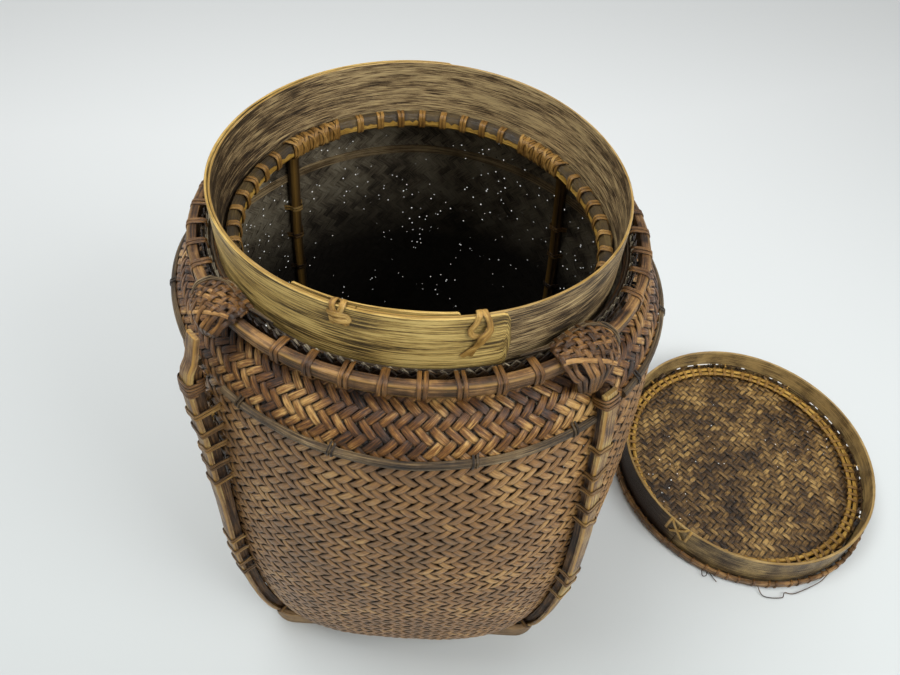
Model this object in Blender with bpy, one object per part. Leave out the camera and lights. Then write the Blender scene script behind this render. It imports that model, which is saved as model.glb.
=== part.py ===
"""Lidded rice basket: a double plaited wall on a bent foot frame, four corner posts,
lashed hoops at the neck and girdle, a bent collar in the mouth, and a loose lid that
lies upside down on the floor beside it. Metres, +Z up, -Y is the front, and the origin is
on the floor in the middle of the space that basket and lid take up together."""

import math

import bmesh
import bpy
from mathutils import Vector

# Clearances that every piece shares
GAP = 0.0003            # between pieces that touch
SEAM = 0.0006           # between the two butted ends of a bent strip

# Where the basket's axis stands, and the floor left between it and the lid
BASKET_X = -0.1608
BASKET_Y = -0.0272
LID_CLEAR_X = 0.0573
LID_APART_Y = 0.0776

# Rattan strand used for the lashings
STRAND = 0.0014
FINE_STRAND = 0.0010

# Foot frame: a bent wooden band, square with round corners, narrower than the girdle
FOOT_INSET = 0.038
FOOT_CORNER_RADIUS = 0.022
FOOT_HEIGHT = 0.016
FOOT_THICKNESS = 0.005
FOOT_CORNER_STEPS = 5

# Woven wall, outside faces: the belly runs from the base up to the girdle
BASE_HEIGHT = FOOT_HEIGHT + GAP
GIRDLE_HEIGHT = 0.337
GIRDLE_SIDE = 0.158
GIRDLE_CORNER_INSET = 0.003
SHOULDER_RISE = 0.0175
SHOULDER_INSET = 0.0105
NECK_RISE = 0.0115
NECK_INSET = 0.0143
OUTER_WEAVE_THICKNESS = 0.0018
LINING_THICKNESS = 0.0012

# The belly's form between base and girdle, as shares of its height and of the girdle
BELLY_HEIGHT_SHARES = (0.0, 0.022, 0.080, 0.214, 0.417, 0.635, 0.853, 1.0)
BELLY_SIDE_SHARES = (0.785, 0.850, 0.896, 0.943, 0.997, 1.022, 1.018, 1.0)
BELLY_CORNER_SHARES = (0.942, 0.981, 1.019, 1.061, 1.087, 1.071, 1.035, 1.0)
BELLY_OVAL_SHARES = (0.0, 0.0, 0.05, 0.2, 0.5, 0.8, 1.0, 1.0)

# Hand-made roundness: the mouth is a little oval and a little three-cornered
OVAL_SHARE = 0.023
OVAL_TURN = math.radians(116)
THREE_CORNER_SHARE = 0.011
THREE_CORNER_TURN = math.radians(-31.5)
LID_OVAL_SHARE = 0.019
LID_OVAL_TURN = math.radians(69.5)

# Corner posts: a stick on the wall with a wider lath over it
POST_ANGLES = tuple(math.radians(turn) for turn in (225, 315, 45, 135))
POST_PLACES = ("front_left", "front_right", "back_right", "back_left")
STICK_WIDTH = 0.007
STICK_DEPTH = 0.0065
LATH_WIDTH = 0.011
LATH_DEPTH = 0.0030
LATH_CHAMFER = 0.0010
POST_TOP_STANDOFF = 0.0054
POST_GIRDLE_STANDOFF = 0.0024

# Lashings along a post, as shares of the height from floor to girdle
LEFT_LASHING_SHARES = (0.063, 0.364, 0.409, 0.464, 0.517, 0.735, 0.790, 0.837, 0.890, 0.938)
RIGHT_LASHING_SHARES = (0.063, 0.366, 0.436, 0.482, 0.702, 0.755, 0.805, 0.855, 0.925)
POST_LASHING_REACH = 0.0105
POST_PLAIN_RUN = 0.050  # a longer run than this passes under the lath's overhang
HEAD_TURNS = 5
HEAD_TURN_GAP = 0.0006
HEAD_START = 0.0022     # above the girdle

# Posts inside the wall, with their bands
INNER_POST_WIDTH = 0.0085
INNER_POST_BACK_WIDTH = 0.0030
INNER_POST_DEPTH = 0.0060
INNER_POST_TOP_DROP = 0.0070  # below the neck's foot
INNER_BAND_SHARES = (0.24, 0.38, 0.52, 0.66, 0.77, 0.86)
INNER_BAND_REACH = 0.0075
INNER_POST_EASE = 0.050  # height over which the post comes off the lining for the splint

# Girdle hoops: a split rattan outside, a flat splint inside, in arcs between the posts
GIRDLE_HOOP_HEIGHT = 0.0050
GIRDLE_HOOP_DEPTH = 0.0030
GIRDLE_HOOP_END = 0.0145
HOOP_ROUND_SHARE = 0.75
INNER_HOOP_DROP = 0.013
INNER_HOOP_WIDTH = 0.0090
INNER_HOOP_DEPTH = 0.0018
GIRDLE_TIE_TURNS = tuple(math.radians(turn) for turn in (-35, -13, 14, 35))
GIRDLE_TIE_OVERRUN = 0.0004

# Neck: the rim hoop outside the wall, a packing strand, and the hoop inside the collar
RIM_HOOP_LIFT = 0.0035   # above the neck's foot
RIM_HOOP_OVER = 0.0005   # past the wall's top edge
RIM_HOOP_HEIGHT = 0.0100
RIM_HOOP_DEPTH = 0.0060
RIM_HOOP_CHAMFER = 0.0014
RIM_LASHING_STEP = math.radians(8)
RIM_LASHINGS_PER_SIDE = 8
RIM_PAIR_GAP = 0.0019
PACKING_LIFT = 0.0020
PACKING_HEIGHT = 0.0036
PACKING_WIDTH = 0.0037

# Collar: a bent band, an outer strip over most of it and a short strip inside the front
COLLAR_DROP = 0.0035     # below the neck's foot
COLLAR_HEIGHT = 0.0475
COLLAR_BAND_THICKNESS = 0.0016
COLLAR_BAND_SEAM = math.radians(-101)
COLLAR_STRIP_THICKNESS = 0.0014
COLLAR_STRIP_RISE = 0.0006
COLLAR_STRIP_START = math.radians(83)
COLLAR_STRIP_END = math.radians(294)
COLLAR_LINER_THICKNESS = 0.0012
COLLAR_LINER_START = math.radians(241)
COLLAR_LINER_END = math.radians(283)
COLLAR_LINER_LIFT = 0.0078  # over the seat hoop
COLLAR_LINER_DROP = 0.0012

# The two ties over the collar's top edge
PLAIN_TIE_TURN = math.radians(255)
PLAIN_TIE_DROP = 0.010
LONG_TIE_TURN = math.radians(286)
LONG_TIE_LIFT = 0.0090      # over the packing strand
LONG_TIE_SLANT = math.radians(4)

# Hoop inside the collar's foot and what ties it
SEAT_HOOP_DROP = 0.0005
SEAT_HOOP_HEIGHT = 0.0095
SEAT_HOOP_DEPTH = 0.0080
SEAT_HOOP_CHAMFER = 0.0012
SEAT_WRAP_TURNS = 4
SEAT_WRAP_GAP = 0.0009
SEAT_LASHINGS_PER_SIDE = 7
SEAT_LASHING_STEP = math.radians(9.5)

# Corner caps: fanned strands over the post head and the rim hoop
CAP_TIP_RISE = 0.0040       # above the shoulder
CAP_TIP_STANDOFF = 0.0042
CAP_TIP_DEPTH = 0.0085
CAP_TIP_HALF_WIDTH = 0.0045
CAP_WAIST_HALF_WIDTH = 0.0130
CAP_HALF_WIDTH = 0.0175
CAP_END_HALF_WIDTH = 0.0150
CAP_THICKNESS = 0.0045
CAP_RIDGE = 0.0010
CAP_SHOULDER_SHARE = 0.8
CAP_END_SHARE = 0.6
CAP_DOME_SHARE = 0.35
CAP_STRANDS = 9
CAP_END_INSET = 0.0040

# Lid, upside down: band, plaited disc and two hoops
LID_FIT = 0.0029            # between the collar and the lid's band when the lid is on
LID_BAND_HEIGHT = 0.0400
LID_BAND_THICKNESS = 0.0028
LID_BAND_LAP_START = math.radians(228)
LID_DISC_HEIGHT = 0.0105
LID_DISC_THICKNESS = 0.0020
LID_DISC_EDGE_RISE = 0.0085
LID_DISC_EDGE_GAP = 0.0006
LID_DISC_CROWN = 0.0030
LID_CROWN_PLACE_SHARE = 0.55
LID_CROWN_SHARE = 0.7
LID_INNER_HOOP_DEPTH = 0.0042
LID_INNER_HOOP_HEIGHT = 0.0050
LID_OUTER_HOOP_DEPTH = 0.0034
LID_OUTER_HOOP_HEIGHT = 0.0066
LID_OUTER_HOOP_FOOT = 0.0028
LID_LASHINGS = 20
LID_STITCH_REACH = math.radians(3.5)
LID_STITCH_LIFT = 0.0076    # over the outer hoop
LID_STITCH_MARGIN = 0.0060  # under the band's edge

# Heights and radii that the pieces share, stacked from the sizes above
FOOT_HALF_WIDTH = GIRDLE_SIDE - FOOT_INSET
GIRDLE_CORNER = GIRDLE_SIDE - GIRDLE_CORNER_INSET
SHOULDER_RADIUS = GIRDLE_SIDE - SHOULDER_INSET
NECK_RADIUS = SHOULDER_RADIUS - NECK_INSET
SHOULDER_HEIGHT = GIRDLE_HEIGHT + SHOULDER_RISE
NECK_FOOT_HEIGHT = SHOULDER_HEIGHT + NECK_RISE
RIM_HOOP_FOOT = NECK_FOOT_HEIGHT + RIM_HOOP_LIFT
RIM_TOP = RIM_HOOP_FOOT + RIM_HOOP_HEIGHT
NECK_TOP_HEIGHT = RIM_TOP - RIM_HOOP_OVER
LINING_FACE = OUTER_WEAVE_THICKNESS + GAP + LINING_THICKNESS
INNER_HOOP_HEIGHT = GIRDLE_HEIGHT - INNER_HOOP_DROP
INNER_POST_TOP_HEIGHT = NECK_FOOT_HEIGHT - INNER_POST_TOP_DROP
PACKING_FOOT = NECK_FOOT_HEIGHT + PACKING_LIFT
PACKING_OUTER = NECK_RADIUS - LINING_FACE - 2 * GAP
PACKING_INNER = PACKING_OUTER - PACKING_WIDTH
STRIP_OUTER = PACKING_INNER - GAP
STRIP_INNER = STRIP_OUTER - COLLAR_STRIP_THICKNESS
COLLAR_RADIUS = STRIP_INNER - GAP
COLLAR_FOOT = NECK_FOOT_HEIGHT - COLLAR_DROP
COLLAR_TOP = COLLAR_FOOT + COLLAR_HEIGHT
SEAT_HOOP_FOOT = NECK_FOOT_HEIGHT - SEAT_HOOP_DROP
CAP_TIP_HEIGHT = SHOULDER_HEIGHT + CAP_TIP_RISE
CAP_END_RADIUS = NECK_RADIUS - CAP_END_INSET
LID_INNER_FACE = STRIP_OUTER + LID_FIT
LID_RADIUS = LID_INNER_FACE + LID_BAND_THICKNESS
LID_APART_X = GIRDLE_SIDE + LID_RADIUS + LID_CLEAR_X

# How finely round things are divided
WALL_COLUMNS = 40
NECK_COLUMNS = 40
LID_COLUMNS = 40

# Edges bent more than this stay crisp
SHARP_ANGLE = math.radians(35)

# Colours as seen in daylight
WEAVE_BROWN = (0.25, 0.12, 0.05)
LINING_GREY = (0.10, 0.09, 0.06)
BAMBOO_STRAW = (0.42, 0.29, 0.11)
BAMBOO_GOLD = (0.50, 0.27, 0.06)
BAMBOO_SKIN = (0.15, 0.08, 0.05)
RATTAN_BROWN = (0.20, 0.10, 0.045)
RATTAN_TAN = (0.36, 0.20, 0.08)
WOOD_GREY = (0.17, 0.12, 0.08)
LID_OLIVE = (0.16, 0.10, 0.04)


def clear_scene():
    for item in list(bpy.data.objects):
        bpy.data.objects.remove(item, do_unlink=True)


def finish(name, verts, faces, colour, roughness=0.6):
    """Make one closed object from vertices and faces, faces outwards, smooth where round."""
    mesh = bpy.data.meshes.new(name)
    mesh.from_pydata([tuple(v) for v in verts], [], faces)
    work = bmesh.new()
    work.from_mesh(mesh)
    bmesh.ops.recalc_face_normals(work, faces=work.faces)
    work.to_mesh(mesh)
    work.free()
    mesh.shade_smooth()
    mesh.set_sharp_from_angle(angle=SHARP_ANGLE)
    material = bpy.data.materials.new(name)
    material.use_nodes = True
    shader = material.node_tree.nodes["Principled BSDF"]
    shader.inputs["Base Color"].default_value = (*colour, 1.0)
    shader.inputs["Roughness"].default_value = roughness
    shader.inputs["Metallic"].default_value = 0.0
    mesh.materials.append(material)
    item = bpy.data.objects.new(name, mesh)
    bpy.context.collection.objects.link(item)
    return item


class Solids:
    """Collects the vertices and faces of one object."""

    def __init__(self):
        self.verts = []
        self.faces = []

    def loft(self, rings, closed=False):
        """Skin a row of rings. A closed row joins its last ring to its first."""
        start = len(self.verts)
        count = len(rings[0])
        for ring in rings:
            self.verts.extend(ring)
        rows = len(rings) if closed else len(rings) - 1
        for row in range(rows):
            low = start + row * count
            high = start + (row + 1) % len(rings) * count
            for k in range(count):
                nxt = (k + 1) % count
                self.faces.append((low + k, low + nxt, high + nxt, high + k))
        if not closed:
            last = start + (len(rings) - 1) * count
            self.faces.append(tuple(range(start, start + count)))
            self.faces.append(tuple(range(last, last + count)))

    def make(self, name, colour, roughness=0.6):
        return finish(name, self.verts, self.faces, colour, roughness)


def stand_on_floor(name, x, y):
    """Carry every piece made since the last such axis on a new one at a place on the floor."""
    axis = bpy.data.objects.new(name, None)
    loose = [item for item in bpy.context.collection.objects
             if item.type == "MESH" and item.parent is None]
    bpy.context.collection.objects.link(axis)
    axis.location = (x, y, 0.0)
    for item in loose:
        item.parent = axis


def radial(angle):
    return Vector((math.cos(angle), math.sin(angle), 0.0))


def across(angle):
    return Vector((-math.sin(angle), math.cos(angle), 0.0))


def mouth_shape(angle, weight=1.0):
    """How far the hand-made mouth departs from a circle, as a factor on the radius."""
    oval = OVAL_SHARE * math.cos(2 * (angle - OVAL_TURN))
    corners = THREE_CORNER_SHARE * math.cos(3 * (angle - THREE_CORNER_TURN))
    return 1 + weight * (oval + corners)


def lid_shape(angle):
    return 1 + LID_OVAL_SHARE * math.cos(2 * (angle - LID_OVAL_TURN))


def on_polygon(angle, columns, place):
    """A point on the straight-sided ring whose corners are place(angle) at even turns."""
    step = math.tau / columns
    column = math.floor(angle / step + 1e-9)
    share = angle / step - column
    first = place(column * step)
    if share < 1e-6:
        return first
    return first.lerp(place((column + 1) * step), share)


def neck_point(angle, radius, height):
    def place(turn):
        return radial(turn) * radius * mouth_shape(turn) + Vector((0, 0, height))
    return on_polygon(angle, NECK_COLUMNS, place)


def lid_point(angle, radius, height):
    def place(turn):
        return radial(turn) * radius * lid_shape(turn) + Vector((0, 0, height))
    return on_polygon(angle, LID_COLUMNS, place)


def turns(columns, start=None, end=None):
    """Even turns round the ring, or the ends of an arc and the even turns between them."""
    step = math.tau / columns
    if start is None:
        return [k * step for k in range(columns)]
    first = math.floor(start / step) + 1
    last = math.ceil(end / step) - 1
    inside = [k * step for k in range(first, last + 1)]
    inside = [turn for turn in inside if start + step / 9 < turn < end - step / 9]
    return [start] + inside + [end]


def hoop(solids, point, profile, columns, start=None, end=None):
    """Carry a profile of (radius, height) pairs round the ring, whole or as an arc."""
    rings = [[point(turn, r, z) for r, z in profile] for turn in turns(columns, start, end)]
    solids.loft(rings, closed=start is None)


def bevelled(inner, outer, low, high, chamfer):
    """A hoop's profile with its two outer edges cut back."""
    return [(inner, low), (outer - chamfer, low), (outer, low + chamfer),
            (outer, high - chamfer), (outer - chamfer, high), (inner, high)]


# Woven wall

def wall_stations():
    """Height, side radius, corner radius and roundness weight, from base to neck."""
    rise = GIRDLE_HEIGHT - BASE_HEIGHT
    rows = []
    for k, share in enumerate(BELLY_HEIGHT_SHARES):
        side = GIRDLE_SIDE * BELLY_SIDE_SHARES[k]
        corner = GIRDLE_CORNER * BELLY_CORNER_SHARES[k]
        rows.append((BASE_HEIGHT + rise * share, side, corner, BELLY_OVAL_SHARES[k]))
    rows.append((SHOULDER_HEIGHT, SHOULDER_RADIUS, SHOULDER_RADIUS, 1.0))
    rows.append((NECK_FOOT_HEIGHT, NECK_RADIUS, NECK_RADIUS, 1.0))
    rows.append((NECK_TOP_HEIGHT, NECK_RADIUS, NECK_RADIUS, 1.0))
    return rows


STATIONS = wall_stations()


def station_normals():
    """Outward normal of the side profile at each station, as (radius, height) parts."""
    below_radius, below_height = 0.0, BASE_HEIGHT
    normals = []
    for (height, side, _, _), (above_height, above_side, _, _) in zip(STATIONS, STATIONS[1:]):
        run, rise = above_side - below_radius, above_height - below_height
        size = math.hypot(run, rise)
        normals.append((rise / size, -run / size))
        below_radius, below_height = side, height
    normals.append((1.0, 0.0))
    return normals


NORMALS = station_normals()


def wall_corner(turn, station, out):
    """A corner of the faceted wall: its turn, its station, and how far out of the face."""
    height, side, corner, weight = STATIONS[station]
    bend = 1 / (0.5 - math.log2(corner / side))
    spread = abs(math.cos(turn)) ** bend + abs(math.sin(turn)) ** bend
    radius = side / spread ** (1 / bend) * mouth_shape(turn, weight)
    out_radius, out_height = NORMALS[station]
    return radial(turn) * (radius + out * out_radius) + Vector((0, 0, height + out * out_height))


def wall_point(angle, height, out):
    """A point on the faceted wall at a turn and height, moved out of its face."""
    heights = [STATIONS[k][0] + out * NORMALS[k][1] for k in range(len(STATIONS))]
    low = max(k for k in range(len(heights) - 1) if heights[k] <= height or k == 0)
    share = (height - heights[low]) / (heights[low + 1] - heights[low])
    first = on_polygon(angle, WALL_COLUMNS, lambda turn: wall_corner(turn, low, out))
    second = on_polygon(angle, WALL_COLUMNS, lambda turn: wall_corner(turn, low + 1, out))
    return first.lerp(second, share)


def woven_shell(name, outside, thickness, colour):
    """An open pot with a flat base: the outer face, and the inner one a thickness in."""
    verts = []
    faces = []
    spans = WALL_COLUMNS
    for inset in (outside, outside + thickness):
        for station in range(len(STATIONS)):
            for column in range(spans):
                verts.append(wall_corner(column * math.tau / spans, station, -inset))
        verts.append(Vector((0, 0, STATIONS[0][0] - inset * NORMALS[0][1])))
    rows = len(STATIONS)
    side = rows * spans + 1
    for base in (0, side):
        for row in range(rows - 1):
            for k in range(spans):
                nxt = (k + 1) % spans
                low, high = base + row * spans, base + (row + 1) * spans
                faces.append((low + k, low + nxt, high + nxt, high + k))
        for k in range(spans):
            faces.append((base + (k + 1) % spans, base + k, base + side - 1))
    top = (rows - 1) * spans
    for k in range(spans):
        nxt = (k + 1) % spans
        faces.append((top + k, top + nxt, side + top + nxt, side + top + k))
    finish(name, verts, faces, colour)


def woven_wall():
    woven_shell("outer_weave", 0.0, OUTER_WEAVE_THICKNESS, WEAVE_BROWN)
    woven_shell("inner_lining", OUTER_WEAVE_THICKNESS + GAP, LINING_THICKNESS, LINING_GREY)


def foot_frame():
    def outline(inset):
        reach = FOOT_HALF_WIDTH - FOOT_CORNER_RADIUS
        radius = FOOT_CORNER_RADIUS - inset
        points = []
        for quarter in range(4):
            centre = radial(math.pi / 4 + quarter * math.pi / 2) * reach * math.sqrt(2)
            for k in range(FOOT_CORNER_STEPS + 1):
                turn = quarter * math.pi / 2 + k / FOOT_CORNER_STEPS * math.pi / 2
                points.append(centre + radial(turn) * radius)
        return points
    solids = Solids()
    outer, inner = outline(0.0), outline(FOOT_THICKNESS)
    lift = Vector((0, 0, FOOT_HEIGHT))
    rings = [[a, a + lift, b + lift, b] for a, b in zip(outer, inner)]
    solids.loft(rings, closed=True)
    solids.make("foot_frame", WOOD_GREY)


# Strands and lashings

def room(size):
    """Half the room that a square strand takes between two pieces, with its clearance."""
    return GAP + size * math.sqrt(0.5)


def strand(solids, path, size, facing):
    """A square strand bent through points, each bend cut at half its angle."""
    runs = [(b - a).normalized() for a, b in zip(path, path[1:])]
    side = runs[0].cross(facing).normalized() * (size / 2)
    up = side.cross(runs[0])
    ring = [path[0] + side + up, path[0] - side + up, path[0] - side - up, path[0] + side - up]
    rings = [ring]
    for k in range(1, len(path)):
        run = runs[k - 1]
        plane = run + runs[k] if k < len(runs) else run
        ring = [corner + run * ((path[k] - corner).dot(plane) / run.dot(plane)) for corner in ring]
        rings.append(ring)
    solids.loft(rings)


def print_gap(name, path, size, per_turn):
    """Print the least gap between a winding's turns."""
    least = min((path[k] - path[j]).length for k in range(len(path))
                for j in range(max(0, k - 2 * per_turn), k - per_turn + 1))
    print(f"{name}: least gap between turns {(least - size) * 1000:.2f} mm")


def hoop_winding(name, point, columns, core, angles, size, colour, outside=False):
    """An unbroken strand wound round a hoop: it crosses to the next turn on the hidden side."""
    inner, outer, low, high = core
    clear = room(size)
    inner, outer, low, high = inner - clear, outer + clear, low - clear, high + clear
    shown, hidden = (inner, outer) if outside else (outer, inner)
    order = [(hidden, high), (shown, high), (shown, low), (hidden, low)]
    print_gap(name, [point(angle, r, z) for angle in angles for r, z in order], size, len(order))
    path = []
    for k, angle in enumerate(angles):
        path += [point(angle, r, z) for r, z in order]
        if k == len(angles) - 1:
            break
        for turn in turns(columns, angle, angles[k + 1])[1:-1]:
            share = (turn - angle) / (angles[k + 1] - angle)
            path.append(point(turn, hidden, low + (high - low) * share))
    solids = Solids()
    strand(solids, path, size, Vector((0, 0, 1)))
    solids.make(name, colour, 0.5)


# Corner posts

def post_route(angle):
    """The post's inner face up the corner: place, outward direction, from foot to head."""
    route = []
    for station in range(1, len(BELLY_HEIGHT_SHARES)):
        radius = wall_corner(angle, station, 0.0).dot(radial(angle))
        route.append([radius + GAP, STATIONS[station][0]])
    route[-1][0] += POST_GIRDLE_STANDOFF
    slope = (route[1][0] - route[0][0]) / (route[1][1] - route[0][1])
    foot = FOOT_HEIGHT + GAP
    route.insert(0, [route[0][0] - slope * (route[0][1] - foot), foot])
    head = wall_point(angle, SHOULDER_HEIGHT, 0.0).dot(radial(angle)) + POST_TOP_STANDOFF
    route.append([head, SHOULDER_HEIGHT])
    places = []
    for k, (radius, height) in enumerate(route):
        before, after = route[max(k - 1, 0)], route[min(k + 1, len(route) - 1)]
        run, rise = after[0] - before[0], after[1] - before[1]
        size = math.hypot(run, rise)
        out = radial(angle) * (rise / size) - Vector((0, 0, run / size))
        if k == 0:
            out = radial(angle) * (size / rise)
        places.append((radial(angle) * radius + Vector((0, 0, height)), out))
    return places


def post_at(route, height):
    """Place and outward direction of the post's inner face at a height."""
    for (low, low_out), (high, high_out) in zip(route, route[1:]):
        if low.z <= height <= high.z:
            share = (height - low.z) / (high.z - low.z)
            return low.lerp(high, share), low_out.lerp(high_out, share).normalized()
    return route[-1]


def corner_post(place, angle):
    route = post_route(angle)
    side = across(angle)
    lath_foot = STICK_DEPTH + GAP
    lath_top = lath_foot + LATH_DEPTH
    half, lath_half = STICK_WIDTH / 2, LATH_WIDTH / 2
    flat = lath_half - LATH_CHAMFER
    stick_section = [(-half, 0.0), (half, 0.0), (half, STICK_DEPTH), (-half, STICK_DEPTH)]
    lath_section = [(-lath_half, lath_foot), (lath_half, lath_foot),
                    (lath_half, lath_top - LATH_CHAMFER), (flat, lath_top), (-flat, lath_top),
                    (-lath_half, lath_top - LATH_CHAMFER)]
    for name, section, colour in (("post_stick_", stick_section, RATTAN_TAN),
                                  ("post_lath_", lath_section, BAMBOO_GOLD)):
        solids = Solids()
        solids.loft([[point + side * s + out * h for s, h in section] for point, out in route])
        solids.make(name + place, colour)


def post_lashings(place, angle, shares):
    """One strand laced over the lath from wall to wall, up the post from foot to girdle."""
    route = post_route(angle)
    side = across(angle)
    over = STICK_DEPTH + GAP + LATH_DEPTH + room(STRAND)
    edge = LATH_WIDTH / 2 + room(STRAND)
    tuck = STICK_WIDTH / 2 + room(STRAND)
    path = []
    sign = -1
    last = GIRDLE_HEIGHT
    for share in shares:
        height = GIRDLE_HEIGHT * share
        point, out = post_at(route, height)
        if height - last > POST_PLAIN_RUN:
            path.pop()
            stops = [last] + [stop.z for stop, _ in route if last < stop.z < height] + [height]
            reaches = [edge] + [tuck] * len(stops) + [edge]
            for stop, reach in zip([last] + stops + [height], reaches):
                stop_point, stop_out = post_at(route, stop)
                path.append(stop_point + side * (sign * reach) + stop_out * (STICK_DEPTH / 2))
        else:
            turn = angle + sign * POST_LASHING_REACH / point.xy.length
            path.append(wall_point(turn, height, room(STRAND) + GAP))
        path.append(point + side * (sign * edge) + out * over)
        path.append(point - side * (sign * edge) + out * over)
        turn = angle - sign * POST_LASHING_REACH / point.xy.length
        path.append(wall_point(turn, height, room(STRAND) + GAP))
        last = height
        sign = -sign
    solids = Solids()
    strand(solids, path, STRAND, Vector((0, 0, 1)))
    solids.make("post_lashings_" + place, RATTAN_BROWN, 0.5)


def post_head_binding(place, angle):
    """Tight turns round stick and lath just above the girdle."""
    route = post_route(angle)
    pitch = STRAND + HEAD_TURN_GAP
    point, out = post_at(route, GIRDLE_HEIGHT + HEAD_START + HEAD_TURNS * pitch / 2)
    side = across(angle)
    up = out.cross(side)
    clear = room(STRAND)
    wide = LATH_WIDTH / 2 + clear
    back, front = -clear, STICK_DEPTH + GAP + LATH_DEPTH + clear
    path = []
    for k in range(HEAD_TURNS):
        lift = up * ((k - (HEAD_TURNS - 1) / 2) * pitch)
        for s, h in ((-wide, back), (-wide, front), (wide, front), (wide, back)):
            path.append(point + lift + side * s + out * h)
    print_gap("post_head_binding_" + place, path, STRAND, 4)
    solids = Solids()
    strand(solids, path, STRAND, up)
    solids.make("post_head_binding_" + place, RATTAN_BROWN, 0.5)


# Inside the wall

def inner_standoff(height):
    """How far an inner post stands off the lining, to clear the splint round the girdle."""
    full = INNER_HOOP_DEPTH
    low, high = INNER_HOOP_HEIGHT - INNER_HOOP_WIDTH, INNER_HOOP_HEIGHT + INNER_HOOP_WIDTH
    if height < low:
        return 2 * GAP + full * max(0.0, 1 - (low - height) / INNER_POST_EASE)
    if height > high:
        return 2 * GAP + full * max(0.0, 1 - (height - high) / INNER_POST_EASE)
    return 2 * GAP + full


def inner_post_at(angle, height):
    """Place of an inner post's back face, and the direction inwards from it."""
    step = FOOT_HEIGHT / 4
    point = wall_point(angle, height, -LINING_FACE - inner_standoff(height))
    below = wall_point(angle, height - step, -LINING_FACE - inner_standoff(height - step))
    above = wall_point(angle, height + step, -LINING_FACE - inner_standoff(height + step))
    up = (above - below).normalized()
    return point, up.cross(across(angle)).normalized()


def inner_post(place, angle):
    side = across(angle)
    back, half = INNER_POST_BACK_WIDTH / 2, INNER_POST_WIDTH / 2
    section = [(-back, 0.0), (back, 0.0), (half, INNER_POST_DEPTH / 2), (back, INNER_POST_DEPTH),
               (-back, INNER_POST_DEPTH), (-half, INNER_POST_DEPTH / 2)]
    stations = range(1, len(BELLY_HEIGHT_SHARES) - 1)
    heights = [STATIONS[k][0] - LINING_FACE * NORMALS[k][1] for k in stations]
    splint = INNER_HOOP_HEIGHT
    heights += [splint - INNER_HOOP_WIDTH - INNER_POST_EASE, splint - INNER_HOOP_WIDTH,
                splint + INNER_HOOP_WIDTH, INNER_POST_TOP_HEIGHT]
    solids = Solids()
    rings = []
    for height in sorted(heights):
        point, inward = inner_post_at(angle, height)
        rings.append([point + side * s + inward * h for s, h in section])
    solids.loft(rings)
    solids.make("inner_post_" + place, BAMBOO_SKIN)


def inner_post_bands(place, angle):
    """One strand laced over an inner post from lining to lining."""
    side = across(angle)
    path = []
    sign = -1
    for share in INNER_BAND_SHARES:
        height = GIRDLE_HEIGHT * share
        point, inward = inner_post_at(angle, height)
        over = INNER_POST_DEPTH + room(STRAND)
        for way in (sign, -sign):
            turn = angle + way * INNER_BAND_REACH / point.xy.length
            foot = wall_point(turn, height, -LINING_FACE - room(STRAND) - GAP)
            shoulder = point + side * (way * INNER_POST_BACK_WIDTH) + inward * over
            path += [foot, shoulder] if way == sign else [shoulder, foot]
        sign = -sign
    solids = Solids()
    strand(solids, path, STRAND, Vector((0, 0, 1)))
    solids.make("inner_post_bands_" + place, RATTAN_TAN, 0.5)


# Girdle hoops

def girdle_tie(turn):
    """A short strand over the girdle hoop, let a little into it, with its ends at the wall."""
    half = GIRDLE_HOOP_HEIGHT / 2
    seat = wall_point(turn, GIRDLE_HEIGHT, 0.0) + radial(turn) * GAP
    over = radial(turn) * (GIRDLE_HOOP_DEPTH + STRAND / 2 - GIRDLE_TIE_OVERRUN)
    lift = Vector((0, 0, half * HOOP_ROUND_SHARE))
    below = wall_point(turn, GIRDLE_HEIGHT - half - STRAND, room(STRAND))
    above = wall_point(turn, GIRDLE_HEIGHT + half + STRAND, room(STRAND))
    solids = Solids()
    strand(solids, [below, seat + over - lift, seat + over + lift, above], STRAND, across(turn))
    return solids


def girdle_arc(place, middle):
    """A split rattan laid on the girdle from post to post, round outside, with its ties."""
    reach = math.pi / 4 - GIRDLE_HOOP_END / GIRDLE_SIDE
    half = GIRDLE_HOOP_HEIGHT / 2
    round_depth, round_half = GIRDLE_HOOP_DEPTH * HOOP_ROUND_SHARE, half * HOOP_ROUND_SHARE
    section = [(round_depth, -round_half), (GIRDLE_HOOP_DEPTH, 0.0), (round_depth, round_half)]
    rings = []
    for turn in turns(WALL_COLUMNS, middle - reach, middle + reach):
        back = [wall_point(turn, GIRDLE_HEIGHT + z, GAP) for z in (half, 0.0, -half)]
        front = [back[1] + radial(turn) * r + Vector((0, 0, z)) for r, z in section]
        rings.append(back + front)
    solids = Solids()
    solids.loft(rings)
    arc = solids.make("girdle_hoop_" + place, WOOD_GREY, 0.5)
    for k, offset in enumerate(GIRDLE_TIE_TURNS):
        tie = girdle_tie(middle + offset).make(f"girdle_tie_{place}_{k}", RATTAN_TAN)
        tie.hide_render = True
        tie.display_type = "WIRE"
        union = arc.modifiers.new("tie", "BOOLEAN")
        union.operation = "UNION"
        union.object = tie


def inner_girdle_hoop():
    """A flat splint laid round the lining behind the inner posts."""
    low, high = INNER_HOOP_HEIGHT - INNER_HOOP_WIDTH / 2, INNER_HOOP_HEIGHT + INNER_HOOP_WIDTH / 2
    rings = []
    for turn in turns(WALL_COLUMNS):
        ring = []
        for height, depth in ((low, GAP), (high, GAP), (high, GAP + INNER_HOOP_DEPTH),
                              (low, GAP + INNER_HOOP_DEPTH)):
            ring.append(wall_point(turn, height, -LINING_FACE - depth))
        rings.append(ring)
    solids = Solids()
    solids.loft(rings, closed=True)
    solids.make("inner_girdle_hoop", WOOD_GREY)


# Neck and collar

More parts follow.
